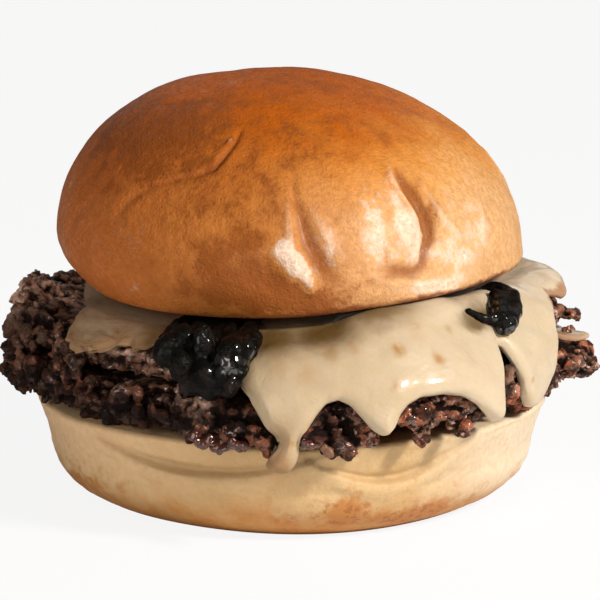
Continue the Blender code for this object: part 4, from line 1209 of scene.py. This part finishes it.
def build_patty(node, seed, *extra):
    """A patty whose open rim is a crust of fused mince, with extra lumps."""
    look = settings("patties")
    mesh = evaluated(merged_copy(node), subdivide(2))
    points = mesh_points(mesh)
    azimuth, radius, height = cylinder_of(points)
    bare = 1.0 - covered(azimuth, radius, height, 1.5, (-0.6, 1.4))
    outer = smooth(45.0, 50.0, radius)
    torn = 2.6 * (mince(points, 7.5, seed) - 0.74) + 1.0 * (mince(points, 3.5, seed + 1) - 0.7)
    torn = torn + 1.6 * np.minimum(0.2, waves(points * (1.0, 1.0, 1.6), 9.0, seed + 6))
    swell(mesh, bare * outer * torn * look.crag_depth)
    clumps = ramp(-0.05, 0.35, waves(points, 6.0, seed))
    store(mesh, "spread", bare * outer * (0.15 + 0.85 * clumps))
    small, large = look.smallest_crag, look.largest_crag
    crust = grow(bpy.data.node_groups["scatter_bits"], keep_surface=True,
                 density=look.crag_density, smallest=(small, small * 0.55, small * 0.55),
                 largest=(large, large * 0.6, large * 0.6), seed=seed)
    mesh = joined(node, evaluated(mesh, crust), *extra)
    mesh = evaluated(mesh, fuse(look.skin_cell / MM), soften(0.25, 1))
    drop_islands(mesh)
    points = mesh_points(mesh)
    shown = smooth(44.0, 48.0, cylinder_of(points)[1])
    flat = points * (1.0, 1.0, 1.7)
    torn = 1.7 * (0.45 - crags(flat, 5.0, seed + 3)) + 0.7 * (crags(flat, 1.6, seed + 4) - 0.4)
    torn = torn + 0.45 * (mince(flat, 3.4, seed + 8) - 0.7)
    swell(mesh, shown * torn * look.crag_depth)
    store(mesh, "hollow", hollows(mesh, 12))
    points = mesh_points(mesh)
    azimuth, _, height = cylinder_of(points)
    broken = smooth(-0.25, 0.05, waves(points, 1.8, seed + 5, 2))
    store(mesh, "smear", patches(SMEARS, azimuth, height) * broken)
    store(mesh, "fatty", patches(FATTY, azimuth, height, 4))
    flatten_middle(mesh)
    return mesh


def pulled(azimuth, reach):
    """The azimuth to which a point of the melted top slice is drawn."""
    above = drape(azimuth, reach, 0.0)[1] - STACK_BASE
    side = azimuth
    for middle, height, half, tall, shift, wider in PULLS:
        away = turn(azimuth, middle)
        side = side + (shift + wider * away) * bell(away, half, 4) * bell(above - height, tall)
    return side


def hem_distance(azimuth, reach):
    """How far points of the top slice are from its hem, in millimetres along the slice."""
    line = np.arange(-1800, 1800) * 0.1
    end = top_slice_reach(line)
    line = pulled(line, end)
    near = (line > azimuth.min() - 6.0) & (line < azimuth.max() + 6.0)
    across = turn(azimuth[:, None], line[near]) * math.radians(60.0)
    return np.sqrt((across**2 + (reach[:, None] - end[near]) ** 2).min(axis=1))


def slice_shape(azimuth, slice_end, offset_at, full_at, steps, melted=False):
    """Rings of a draped slice of cheese: its outer face, its rounded edge and its inner face."""
    look = settings("cheese")
    edge, taper = look.edge_thickness / MM, look.taper / MM
    end = slice_end(azimuth)
    start = np.minimum(SHEET_START, 0.9 * end)
    reaches = [start * share for share in np.linspace(0.0, 1.0, 7)[:-1]]
    reaches += [start + (end - start) * share for share in np.linspace(0.0, 1.0, steps) ** 0.8]
    outer, inner = [], []
    for reach in reaches:
        side = pulled(azimuth, reach) if melted else azimuth
        full = full_at(azimuth, reach)
        from_edge = hem_distance(side, reach) if melted else end - reach
        above = drape(azimuth, reach, 0.0)[1] - STACK_BASE
        for middle, height, half, more in BEADS if melted else ():
            full = full + more * bell(turn(azimuth, middle), half) * bell(above - height, half)
        inside = ramp(0.0, taper, from_edge)
        thick = edge + (full - edge) * np.sqrt(1.0 - (1.0 - inside) ** 2)
        base = offset_at(azimuth, reach)
        outer.append(at_azimuth(side, *drape(side, reach, base + thick)))
        inner.append(at_azimuth(side, *drape(side, reach, base)))
    return np.array(outer + inner[::-3] + inner[:1])


def colour(name, description, *value):
    """A colour that a user can change."""
    return bpy.props.FloatVectorProperty(name=name, description=description, subtype="COLOR", default=value)


def number(name, description, value, **choices):
    """A number that a user can change."""
    return bpy.props.FloatProperty(name=name, description=description, default=value, **choices)


def length(name, description, value, least, most):
    """A small length that a user can change, in metres."""
    return number(name, description, value, min=least, max=most, unit="LENGTH", precision=5)


class CrownLook(bpy.types.PropertyGroup):
    """Sizes and colours of the top half of the roll."""

    crease_strength: number(
        "Crease strength", "How deep the crust's creases are, as a share of the real ones", 1.0,
        min=0.0, max=2.0)
    top_colour: colour("Top", "Brown of the top of the crust", 0.48, 0.100, 0.001)
    side_colour: colour("Side", "Gold of the crust's side", 0.50, 0.175, 0.03)
    # The right and left colours are partly painted light and painted shade from the key light on the right.
    right_colour: colour("Right", "Paler gold of the crust's right", 0.70, 0.40, 0.18)
    top_right_colour: colour("Top right", "Orange high on the crust's right", 0.86, 0.44, 0.09)
    # Also the painted highlights of the ridges and pale patches.
    pale_colour: colour("Ridges", "Pale gold of the stretched crust", 0.88, 0.69, 0.54)
    red_colour: colour("Left", "Red brown of the darker side", 0.50, 0.12, 0.028)
    # Both the crust's browner blotches and the painted shade in the creases and shaded patches.
    brown_and_shade_colour: colour("Creases", "Brown in the creases", 0.24, 0.062, 0.010)
    # Painted highlights: glints of light on the lit crust.
    glint_colour: colour("Glints", "Pinkish specks of the thin skin", 0.80, 0.42, 0.26)
    lip_colour: colour("Lower lip", "Red brown of the lower edge", 0.19, 0.045, 0.012)


class HeelLook(bpy.types.PropertyGroup):
    """Sizes and colours of the bottom half of the roll."""

    fold_depth: length("Fold depth", "How deep the side folds in", 0.0017, 0.0, 0.004)
    side_colour: colour("Side", "Beige of the side", 0.55, 0.36, 0.165)
    cream_colour: colour("Cream", "Cream of the palest crumb", 0.63, 0.44, 0.225)
    white_colour: colour("Right", "Palest crumb, on the right", 0.80, 0.69, 0.53)
    # Painted light: paler than the crumb, to lift the shade on the left.
    lit_left_colour: colour("Left", "Pinkish brown of the left side", 0.84, 0.57, 0.33)
    fold_colour: colour("Folds", "Shade in the folds", 0.42, 0.29, 0.14)
    foot_colour: colour("Foot", "Gold of the foot", 0.50, 0.22, 0.045)
    patch_colour: colour("Patches", "Orange brown of the toasted patches", 0.48, 0.19, 0.04)
    toast_colour: colour("Toasted", "Toasted flecks of the foot", 0.33, 0.11, 0.025)


class PattyLook(bpy.types.PropertyGroup):
    """Sizes and colours of the two patties."""

    smallest_crag: length("Smallest crag", "Half length of the smallest bits of mince", 0.0008, 0.0004, 0.003)
    largest_crag: length("Largest crag", "Half length of the largest bits of mince", 0.0027, 0.0006, 0.004)
    crag_density: number(
        "Bits per square metre", "How thickly bits of mince cover the rim", 15000.0,
        min=10000.0, max=600000.0)
    crag_depth: number(
        "Crag depth", "How deep the torn rim is, as a share of the real one", 1.0, min=0.0, max=2.0)
    skin_cell: length("Skin cell", "Size of the cells of the fused skin", 0.00055, 0.0004, 0.002)
    # Also the painted shade in the hollows and low on the left.
    char_and_shade_colour: colour("Char", "Black brown of the sear", 0.009, 0.0038, 0.0026)
    brown_colour: colour("Brown", "Brown of the cooked meat", 0.080, 0.029, 0.017)
    red_colour: colour("Red", "Red brown of the thicker meat", 0.56, 0.175, 0.085)
    tan_colour: colour("Tan", "Tan of the palest lumps", 0.30, 0.16, 0.10)
    # Partly painted glints of the wet meat.
    fat_and_glint_colour: colour("Fat", "Pinkish bits of fat", 0.62, 0.36, 0.29)
    smear_colour: colour("Smears", "Melted fat and cheese on the mince", 0.92, 0.58, 0.42)


class CheeseLook(bpy.types.PropertyGroup):
    """Sizes and colours of the slices of cheese."""

    edge_thickness: length("Edge thickness", "Thickness of a slice at its melted edge", 0.0004, 0.0002, 0.002)
    taper: length("Taper", "How far from its edge a slice grows thinner", 0.0028, 0.0005, 0.006)
    body_colour: colour("Body", "Cream of the cheese", 0.50, 0.385, 0.245)
    pale_colour: colour("Pale", "Paler cream of the cheese", 0.62, 0.51, 0.37)
    deep_colour: colour("Deep", "Deeper yellow of thick cheese", 0.50, 0.35, 0.18)
    speck_colour: colour("Specks", "Orange brown specks", 0.40, 0.20, 0.055)
    browned_colour: colour("Browned edge", "Brown of the crisped edge", 0.30, 0.13, 0.05)
    stain_colour: colour("Stain", "Cheese stained by juice", 0.34, 0.20, 0.10)
    # Also the painted shade under the crown's front lip.
    runs_and_shade_colour: colour("Dark runs", "Dark juice on the cheese", 0.110, 0.058, 0.013)


class OnionLook(bpy.types.PropertyGroup):
    """Sizes and colours of the fried onions."""

    strand_scale: number(
        "Strand scale", "Thickness of the strands as a share of the real ones", 1.0, min=0.5, max=1.5)
    black_colour: colour("Black", "Black of the onions", 0.0030, 0.0024, 0.0018)
    brown_colour: colour("Brown", "Brown where they are thin", 0.016, 0.009, 0.008)


class ExtrasLook(bpy.types.PropertyGroup):
    """Colours of the juice and the crisp bits."""

    juice_colour: colour("Juice", "Dark red of the juice", 0.030, 0.006, 0.004)
    juice_light_colour: colour("Thin juice", "Orange red of thin juice", 0.075, 0.017, 0.008)
    bits_colour: colour("Bits", "Pale crisped fat", 0.20, 0.085, 0.035)
    bits_dark_colour: colour("Dark bits", "Browned bits", 0.09, 0.035, 0.018)


class StageLook(bpy.types.PropertyGroup):
    """The camera, the lights and the floor."""

    camera_elevation: number(
        "Camera elevation", "How far the camera looks down", math.radians(13.0), subtype="ANGLE")
    camera_distance: number("Camera distance", "From the camera to the burger", 0.9, unit="LENGTH")
    lens: number("Lens", "Focal length of the camera", 251.0, unit="CAMERA")
    key_power: number("Key light", "Power of the main light", 5.3, unit="POWER")
    fill_power: number("Fill light", "Power of the soft light from the left", 3.2, unit="POWER")
    back_power: number("Back lights", "Power of the two lights behind", 0.45, unit="POWER")
    sky_strength: number("Sky", "Strength of the even light all round", 0.14)
    floor_colour: colour("Floor", "Colour of the floor", 0.9, 0.9, 0.9)


LOOKS = {
    "crown": CrownLook, "heel": HeelLook, "patties": PattyLook, "cheese": CheeseLook,
    "onions": OnionLook, "extras": ExtrasLook, "stage": StageLook,
}


def settings(part):
    """The sizes and colours of one part, as the scene holds them."""
    return getattr(bpy.context.scene, "burger_" + part)


class BURGER_OT_effects(bpy.types.Operator):
    """Builds the node groups that the pieces share"""

    bl_idname = "burger.effects"
    bl_label = "Shared effects"

    def execute(self, context):
        for build in (build_scatter, build_placed, build_mottle, build_flecks, build_lumps, build_grain):
            build()
        return {"FINISHED"}


class BURGER_OT_crown(bpy.types.Operator):
    """Builds the glazed top half of the roll"""

    bl_idname = "burger.crown"
    bl_label = "Crown"

    def execute(self, context):
        add_piece("crown", build_crown(), crust_material(settings("crown")), "glazed_crust", "bun_top")
        return {"FINISHED"}


class BURGER_OT_heel(bpy.types.Operator):
    """Builds the soft bottom half of the roll"""

    bl_idname = "burger.heel"
    bl_label = "Heel"

    def execute(self, context):
        add_piece("heel", build_heel(), crumb_material(settings("heel")), "heel_crumb", "bun_bottom")
        return {"FINISHED"}


class BURGER_OT_patties(bpy.types.Operator):
    """Builds the two seared patties"""

    bl_idname = "burger.patties"
    bl_label = "Patties"

    def execute(self, context):
        look = settings("patties")
        finish = beef_material(look)
        lower = build_patty("patty_lower", 21, placed_bits(LOWER_LUMPS, 23), seam_mince(look, 25))
        add_piece("lower_patty", lower, finish, "seared_beef", "patty_lower")
        upper = build_patty("patty_upper", 31)
        add_piece("upper_patty", upper, finish, "seared_beef", "patty_upper")
        return {"FINISHED"}


def sheet_thickness(azimuth, reach):
    """The top slice's thickness, fuller where it hangs."""
    more = TOP_SLICE_HEM_THICKNESS - TOP_SLICE_THICKNESS
    thin = 0.45 * smooth(-20.0, -34.0, azimuth) * (1.0 - smooth(-100.0, -120.0, azimuth))
    return (TOP_SLICE_THICKNESS + more * smooth(46.0, 60.0, reach)) * (1.0 - thin)


def top_slice_columns():
    """Azimuths of the top slice's columns, close together along its busy front."""
    place = np.arange(TOP_SLICE_COLUMNS) / TOP_SLICE_COLUMNS * 2.0 - 1.0
    middle, half, share = BUSY_FRONT
    away = np.where(np.abs(place) < share, place / share * half,
                    np.sign(place) * (half + (np.abs(place) - share) / (1.0 - share) * (180.0 - half)))
    return turn(middle + away, 0.0)


class BURGER_OT_cheese(bpy.types.Operator):
    """Builds the slices of melted cheese"""

    bl_idname = "burger.cheese"
    bl_label = "Cheese"

    def execute(self, context):
        top = slice_shape(top_slice_columns(), top_slice_reach, top_slice_offset, sheet_thickness,
                          TOP_SLICE_RINGS, melted=True)
        under = slice_shape(around(UNDER_SLICE_COLUMNS), back_slice_reach, lambda side, reach: 0.0 * reach,
                            lambda side, reach: BACK_SLICE_THICKNESS + 0.0 * reach, UNDER_SLICE_RINGS)
        finish = cheese_material(settings("cheese"))
        for name, rings, seed, depth, node in (
                ("top_slice", top, 41, 0.5, "cheese_top"), ("under_slice", under, 43, 0.2, "cheese_back"),
                ("middle_slice", self.middle_rings(), 45, 0.1, "cheese_inner")):
            mesh = ring_mesh(name, rings)
            self.dress(mesh, seed, depth)
            add_piece(name, mesh, finish, "melted_cheese", node)
        return {"FINISHED"}

    def middle_rings(self):
        """Rings of the slice between the patties."""
        azimuth = around(MIDDLE_SLICE_COLUMNS)
        middle, length, width = INNER_SLICE_TONGUE
        half = INNER_SLICE_THICKNESS / 2
        end = ring_value(INNER_SLICE_RADII, azimuth) + length * bell(turn(azimuth, middle), width) - half
        inwards = (0, 0.5, 0.8, 0.95)
        stations = [(share, 90) for share in inwards] + [(1, angle) for angle in range(90, -91, -30)]
        stations += [(share, -90) for share in reversed(inwards)]
        rings = []
        for share, angle in stations:
            radius = end * share
            level = stack_middle(azimuth, radius) + GAP + half - 2.2 * smooth(54.0, 61.0, radius)
            out, up = half * math.cos(math.radians(angle)), half * math.sin(math.radians(angle))
            rings.append(at_azimuth(azimuth, radius + out if share else radius, level + up))
        return np.array(rings)

    def dress(self, mesh, seed, depth):
        """Gives a slice its soft unevenness, the browning and stains at its edge, and painted shade under the
        crown's lip.
        """
        points = mesh_points(mesh)
        azimuth, radius, height = cylinder_of(points)
        rim = smooth(44.0, 52.0, radius)
        up = mesh_normals(mesh)
        facing = np.clip(up[:, 2] + (up * points / np.maximum(1.0, radius)[:, None])[:, :2].sum(1), -1, 1)
        outward = smooth(-0.1, 0.5, facing)
        lumps = waves(points, 9.0, seed) + 0.5 * waves(points, 4.0, seed + 1)
        left = smooth(-16.0, -30.0, azimuth) * (1.0 - smooth(-110.0, -125.0, azimuth))
        lumps = lumps * (1.0 + 0.5 * left) + left * (mince(points, 5.0, seed + 5) - 0.7)
        swell(mesh, rim * outward * depth * lumps)
        ragged = 1.6 * waves(points, 3.0, seed + 2, 3)
        reach = reach_of(azimuth, radius, height) + ragged
        edge = smooth(-2.2, -0.4, reach - top_slice_reach(azimuth))
        crisped = 0.8 * smooth(62.0, 70.0, azimuth) * (1.0 - smooth(84.0, 95.0, azimuth))
        store(mesh, "browned", edge * np.maximum(crisped, 0.9 * left))
        soaked = smooth(-7.0, 0.0, reach - top_slice_reach(azimuth))
        drip = bell(turn(azimuth, -1.4), 2.2) * (1.0 - smooth(26.0, 33.0, height))
        bulb = bell(turn(azimuth, -3.0), 3.4) * (1.0 - smooth(19.5, 25.0, height))
        store(mesh, "stained", np.clip(left * (0.35 + 0.65 * soaked) + 0.55 * drip + 0.9 * bulb, 0.0, 1.0))
        # Dark juice runs, and painted shade under the crown's front lip.
        dark = np.zeros(len(points))
        for middle, at_reach, half, wide, strength in DARK_RUNS_AND_SHADE:
            away = (turn(azimuth, middle) / half) ** 2 + ((reach - 0.5 * ragged - at_reach) / wide) ** 2
            dark = np.maximum(dark, strength * np.exp(-away**1.5))
        store(mesh, "dark", dark * outward)
        spots = np.zeros(len(points))
        for middle, level, half, strength in CHEESE_SPECKS:
            away = np.linalg.norm(points - at_azimuth(middle, np.maximum(radius, 40.0), level), axis=1)
            spots = np.maximum(spots, strength * bell(away + 0.5 * waves(points, 1.2, seed + 4), half))
        store(mesh, "specks", spots * outward)


class BURGER_OT_onions(bpy.types.Operator):
    """Builds the black fried onions"""

    bl_idname = "burger.onions"
    bl_label = "Onions"

    def execute(self, context):
        look = settings("onions")
        curve = bpy.data.curves.new("strands", "CURVE")
        curve.dimensions = "3D"
        curve.bevel_depth = MM
        curve.bevel_resolution = 3
        curve.use_fill_caps = True
        for number, (start, last_azimuth, last, thick) in enumerate(LEFT_STRANDS):
            share = np.linspace(0.0, 1.0, STRAND_STATIONS)
            sway = 0.9 * np.sin(4.0 * share + number * 1.7) + 0.5 * np.sin(9.0 * share + number)
            azimuth = start + (last_azimuth - start) * share + sway
            reach = STRAND_START + (last - STRAND_START) * share
            girth = thick * (0.86 + 0.16 * np.sin(7.0 * share + 2.1 * number)) * look.strand_scale
            self.add_spline(curve, azimuth, reach, girth)
        for route in RIGHT_STRANDS:
            azimuth, reach, girth = self.even(route)
            self.add_spline(curve, azimuth, reach, girth * look.strand_scale)
        guide = bpy.data.objects.new("strands", curve)
        bpy.context.scene.collection.objects.link(guide)
        bpy.context.view_layer.update()
        graph = bpy.context.evaluated_depsgraph_get()
        strands = bpy.data.meshes.new_from_object(guide.evaluated_get(graph))
        bpy.data.objects.remove(guide)
        mesh = joined("onions", strands, self.left_clump(), placed_bits(ONION_LUMPS, 53))
        mesh = evaluated(mesh, fuse(0.5), soften(0.6, 10))
        drop_islands(mesh)
        points = mesh_points(mesh)
        swell(mesh, smooth(40.0, 45.0, cylinder_of(points)[1])
              * (0.25 + 0.6 * waves(points, 3.6, 51) + 0.3 * waves(points, 1.9, 52)))
        azimuth, _, height = cylinder_of(mesh_points(mesh))
        store(mesh, "wet", patches(WET_ONION, azimuth, height, 4, 0.04))
        add_piece("fried_onions", mesh, onion_material(look), "dark_onion", "onions")
        return {"FINISHED"}

    def left_clump(self):
        """The solid onions without their strands on the right."""
        mesh = merged_copy("onions")
        form = bmesh.new()
        form.from_mesh(mesh)
        right = [vertex for vertex in form.verts if vertex.co.x > 0.02]
        bmesh.ops.delete(form, geom=right, context="VERTS")
        form.to_mesh(mesh)
        form.free()
        return mesh

    def even(self, route):
        """Evenly spaced points on the smooth line through a route."""
        stations = np.linspace(0.0, len(route) - 1.0, STRAND_STATIONS)
        return [np.interp(stations, np.arange(len(route)), column) for column in zip(*route)]

    def add_spline(self, curve, azimuth, reach, girth):
        """Adds a strand that lies on the cheese, pressed flat under the crown."""
        pinch = 0.38 + 0.62 * smooth(45.0, 54.0, reach)
        taper = np.minimum(1.0, 0.55 + np.linspace(1.0, 0.0, len(reach)) * 4.0)
        thick = girth * pinch * taper
        cheese = top_slice_offset(azimuth, reach) + sheet_thickness(azimuth, reach)
        points = at_azimuth(azimuth, *drape(azimuth, reach, cheese + 0.8 * thick + 0.1)) * MM
        spline = curve.splines.new("POLY")
        spline.points.add(len(points) - 1)
        for place, point, radius in zip(spline.points, points, thick):
            place.co = (*point, 1.0)
            place.radius = radius


class BURGER_OT_extras(bpy.types.Operator):
    """Builds the crisp bits and the drops of juice"""

    bl_idname = "burger.extras"
    bl_label = "Bits and juice"

    def execute(self, context):
        look = settings("extras")
        add_piece("crisp_bits", fused_bits(CRISP_BITS, 61, 1.2), bits_material(look), "seared_beef")
        add_piece("juice_drops", fused_bits(JUICE_DROPS, 63, 0.7), juice_material(look), "seared_beef")
        return {"FINISHED"}


class BURGER_OT_stage(bpy.types.Operator):
    """Adds the floor, the lights and the camera"""

    bl_idname = "burger.stage"
    bl_label = "Stage"

    def execute(self, context):
        look = settings("stage")
        self.floor(look)
        self.sky(look)
        self.light("key_light", look.key_power, 0.1, (0.46, -0.36, 0.42), (1.0, 0.95, 0.88))
        self.light("fill_light", look.fill_power, 0.6, (-0.40, -0.75, 0.22), (1.0, 0.94, 0.88))
        self.light("right_back_light", look.back_power, 0.4, (0.32, 0.82, 0.38), (1.0, 0.96, 0.92))
        self.light("left_back_light", look.back_power, 0.4, (-0.22, 0.85, 0.38), (1.0, 0.96, 0.92))
        camera = bpy.data.objects.new("camera", bpy.data.cameras.new("camera"))
        context.scene.collection.objects.link(camera)
        camera.data.lens = look.lens
        camera.data.clip_start, camera.data.clip_end = 0.01, 20.0
        aim = Vector((0.0021, 0.0, 0.0400))
        angle = look.camera_elevation
        camera.location = aim + Vector((0.0, -math.cos(angle), math.sin(angle))) * look.camera_distance
        camera.rotation_euler = (math.pi / 2 - angle, 0.0, 0.0)
        context.scene.camera = camera
        context.scene.view_settings.view_transform = "Standard"
        return {"FINISHED"}

    def floor(self, look):
        """A pale floor that meets the sky without an edge."""
        form = bmesh.new()
        bmesh.ops.create_grid(form, x_segments=2, y_segments=2, size=3.0)
        mesh = bpy.data.meshes.new("floor")
        form.to_mesh(mesh)
        form.free()
        material = bpy.data.materials.new("pale_floor")
        material.use_nodes = True
        tree = material.node_tree
        shader = tree.nodes["Principled BSDF"]
        shader.inputs["Base Color"].default_value = (*look.floor_colour, 1.0)
        shader.inputs["Roughness"].default_value = 0.9
        seen = add_node(tree, "ShaderNodeLightPath").outputs["Is Camera Ray"]
        glow = add_node(tree, "ShaderNodeEmission", {"Color": (1.0, 1.0, 1.0, 1.0), "Strength": 1.0})
        share = calc(tree, "MULTIPLY", seen, 0.88)
        both = add_node(tree, "ShaderNodeMixShader", {0: share, 1: shader.outputs[0], 2: glow.outputs[0]})
        tree.links.new(both.outputs[0], tree.nodes["Material Output"].inputs["Surface"])
        mesh.materials.append(material)
        floor = bpy.data.objects.new("floor", mesh)
        bpy.context.scene.collection.objects.link(floor)

    def sky(self, look):
        """Even light all round, white where the camera sees it."""
        world = bpy.context.scene.world or bpy.data.worlds.new("world")
        bpy.context.scene.world = world
        world.use_nodes = True
        tree = world.node_tree
        tree.nodes.clear()
        seen = add_node(tree, "ShaderNodeLightPath").outputs["Is Camera Ray"]
        even = add_node(tree, "ShaderNodeBackground",
                        {"Color": (1.0, 0.97, 0.94, 1.0), "Strength": look.sky_strength})
        white = add_node(tree, "ShaderNodeBackground", {"Color": (1.0, 1.0, 1.0, 1.0), "Strength": 1.0})
        both = add_node(tree, "ShaderNodeMixShader", {0: seen, 1: even.outputs[0], 2: white.outputs[0]})
        end = tree.nodes.new("ShaderNodeOutputWorld")
        tree.links.new(both.outputs[0], end.inputs["Surface"])

    def light(self, name, power, size, place, colour):
        """A square soft light that faces the burger."""
        lamp = bpy.data.lights.new(name, "AREA")
        lamp.energy = power
        lamp.size = size
        lamp.color = colour
        holder = bpy.data.objects.new(name, lamp)
        bpy.context.scene.collection.objects.link(holder)
        holder.location = place
        holder.rotation_euler = (Vector((0.0, 0.0, 0.04)) - Vector(place)).to_track_quat("-Z", "Y").to_euler()


class BURGER_PT_panel(bpy.types.Panel):
    """Lists the burger's pieces with their sizes and colours"""

    bl_idname = "BURGER_PT_panel"
    bl_label = "Burger"
    bl_space_type = "VIEW_3D"
    bl_region_type = "UI"
    bl_category = "Burger"

    def draw(self, context):
        layout = self.layout
        for operator in OPERATORS:
            layout.operator(operator.bl_idname)
        for part, look in LOOKS.items():
            box = layout.box()
            box.label(text=part.capitalize())
            for name in look.__annotations__:
                box.prop(settings(part), name)


OPERATORS = (
    BURGER_OT_effects, BURGER_OT_crown, BURGER_OT_heel, BURGER_OT_patties, BURGER_OT_cheese,
    BURGER_OT_onions, BURGER_OT_extras, BURGER_OT_stage,
)


def register():
    """Makes the settings, operators and panel known to Blender."""
    for part, look in LOOKS.items():
        bpy.utils.register_class(look)
        setattr(bpy.types.Scene, "burger_" + part, bpy.props.PointerProperty(type=look))
    for operator in OPERATORS:
        bpy.utils.register_class(operator)
    bpy.utils.register_class(BURGER_PT_panel)


def unregister():
    """Takes the settings, operators and panel away again."""
    bpy.utils.unregister_class(BURGER_PT_panel)
    for operator in reversed(OPERATORS):
        bpy.utils.unregister_class(operator)
    for part, look in reversed(LOOKS.items()):
        delattr(bpy.types.Scene, "burger_" + part)
        bpy.utils.unregister_class(look)


def main():
    """Builds the whole burger."""
    register()
    for step in ("effects", "crown", "heel", "patties", "cheese", "onions", "extras", "stage"):
        getattr(bpy.ops.burger, step)()


if __name__ == "__main__":
    main()
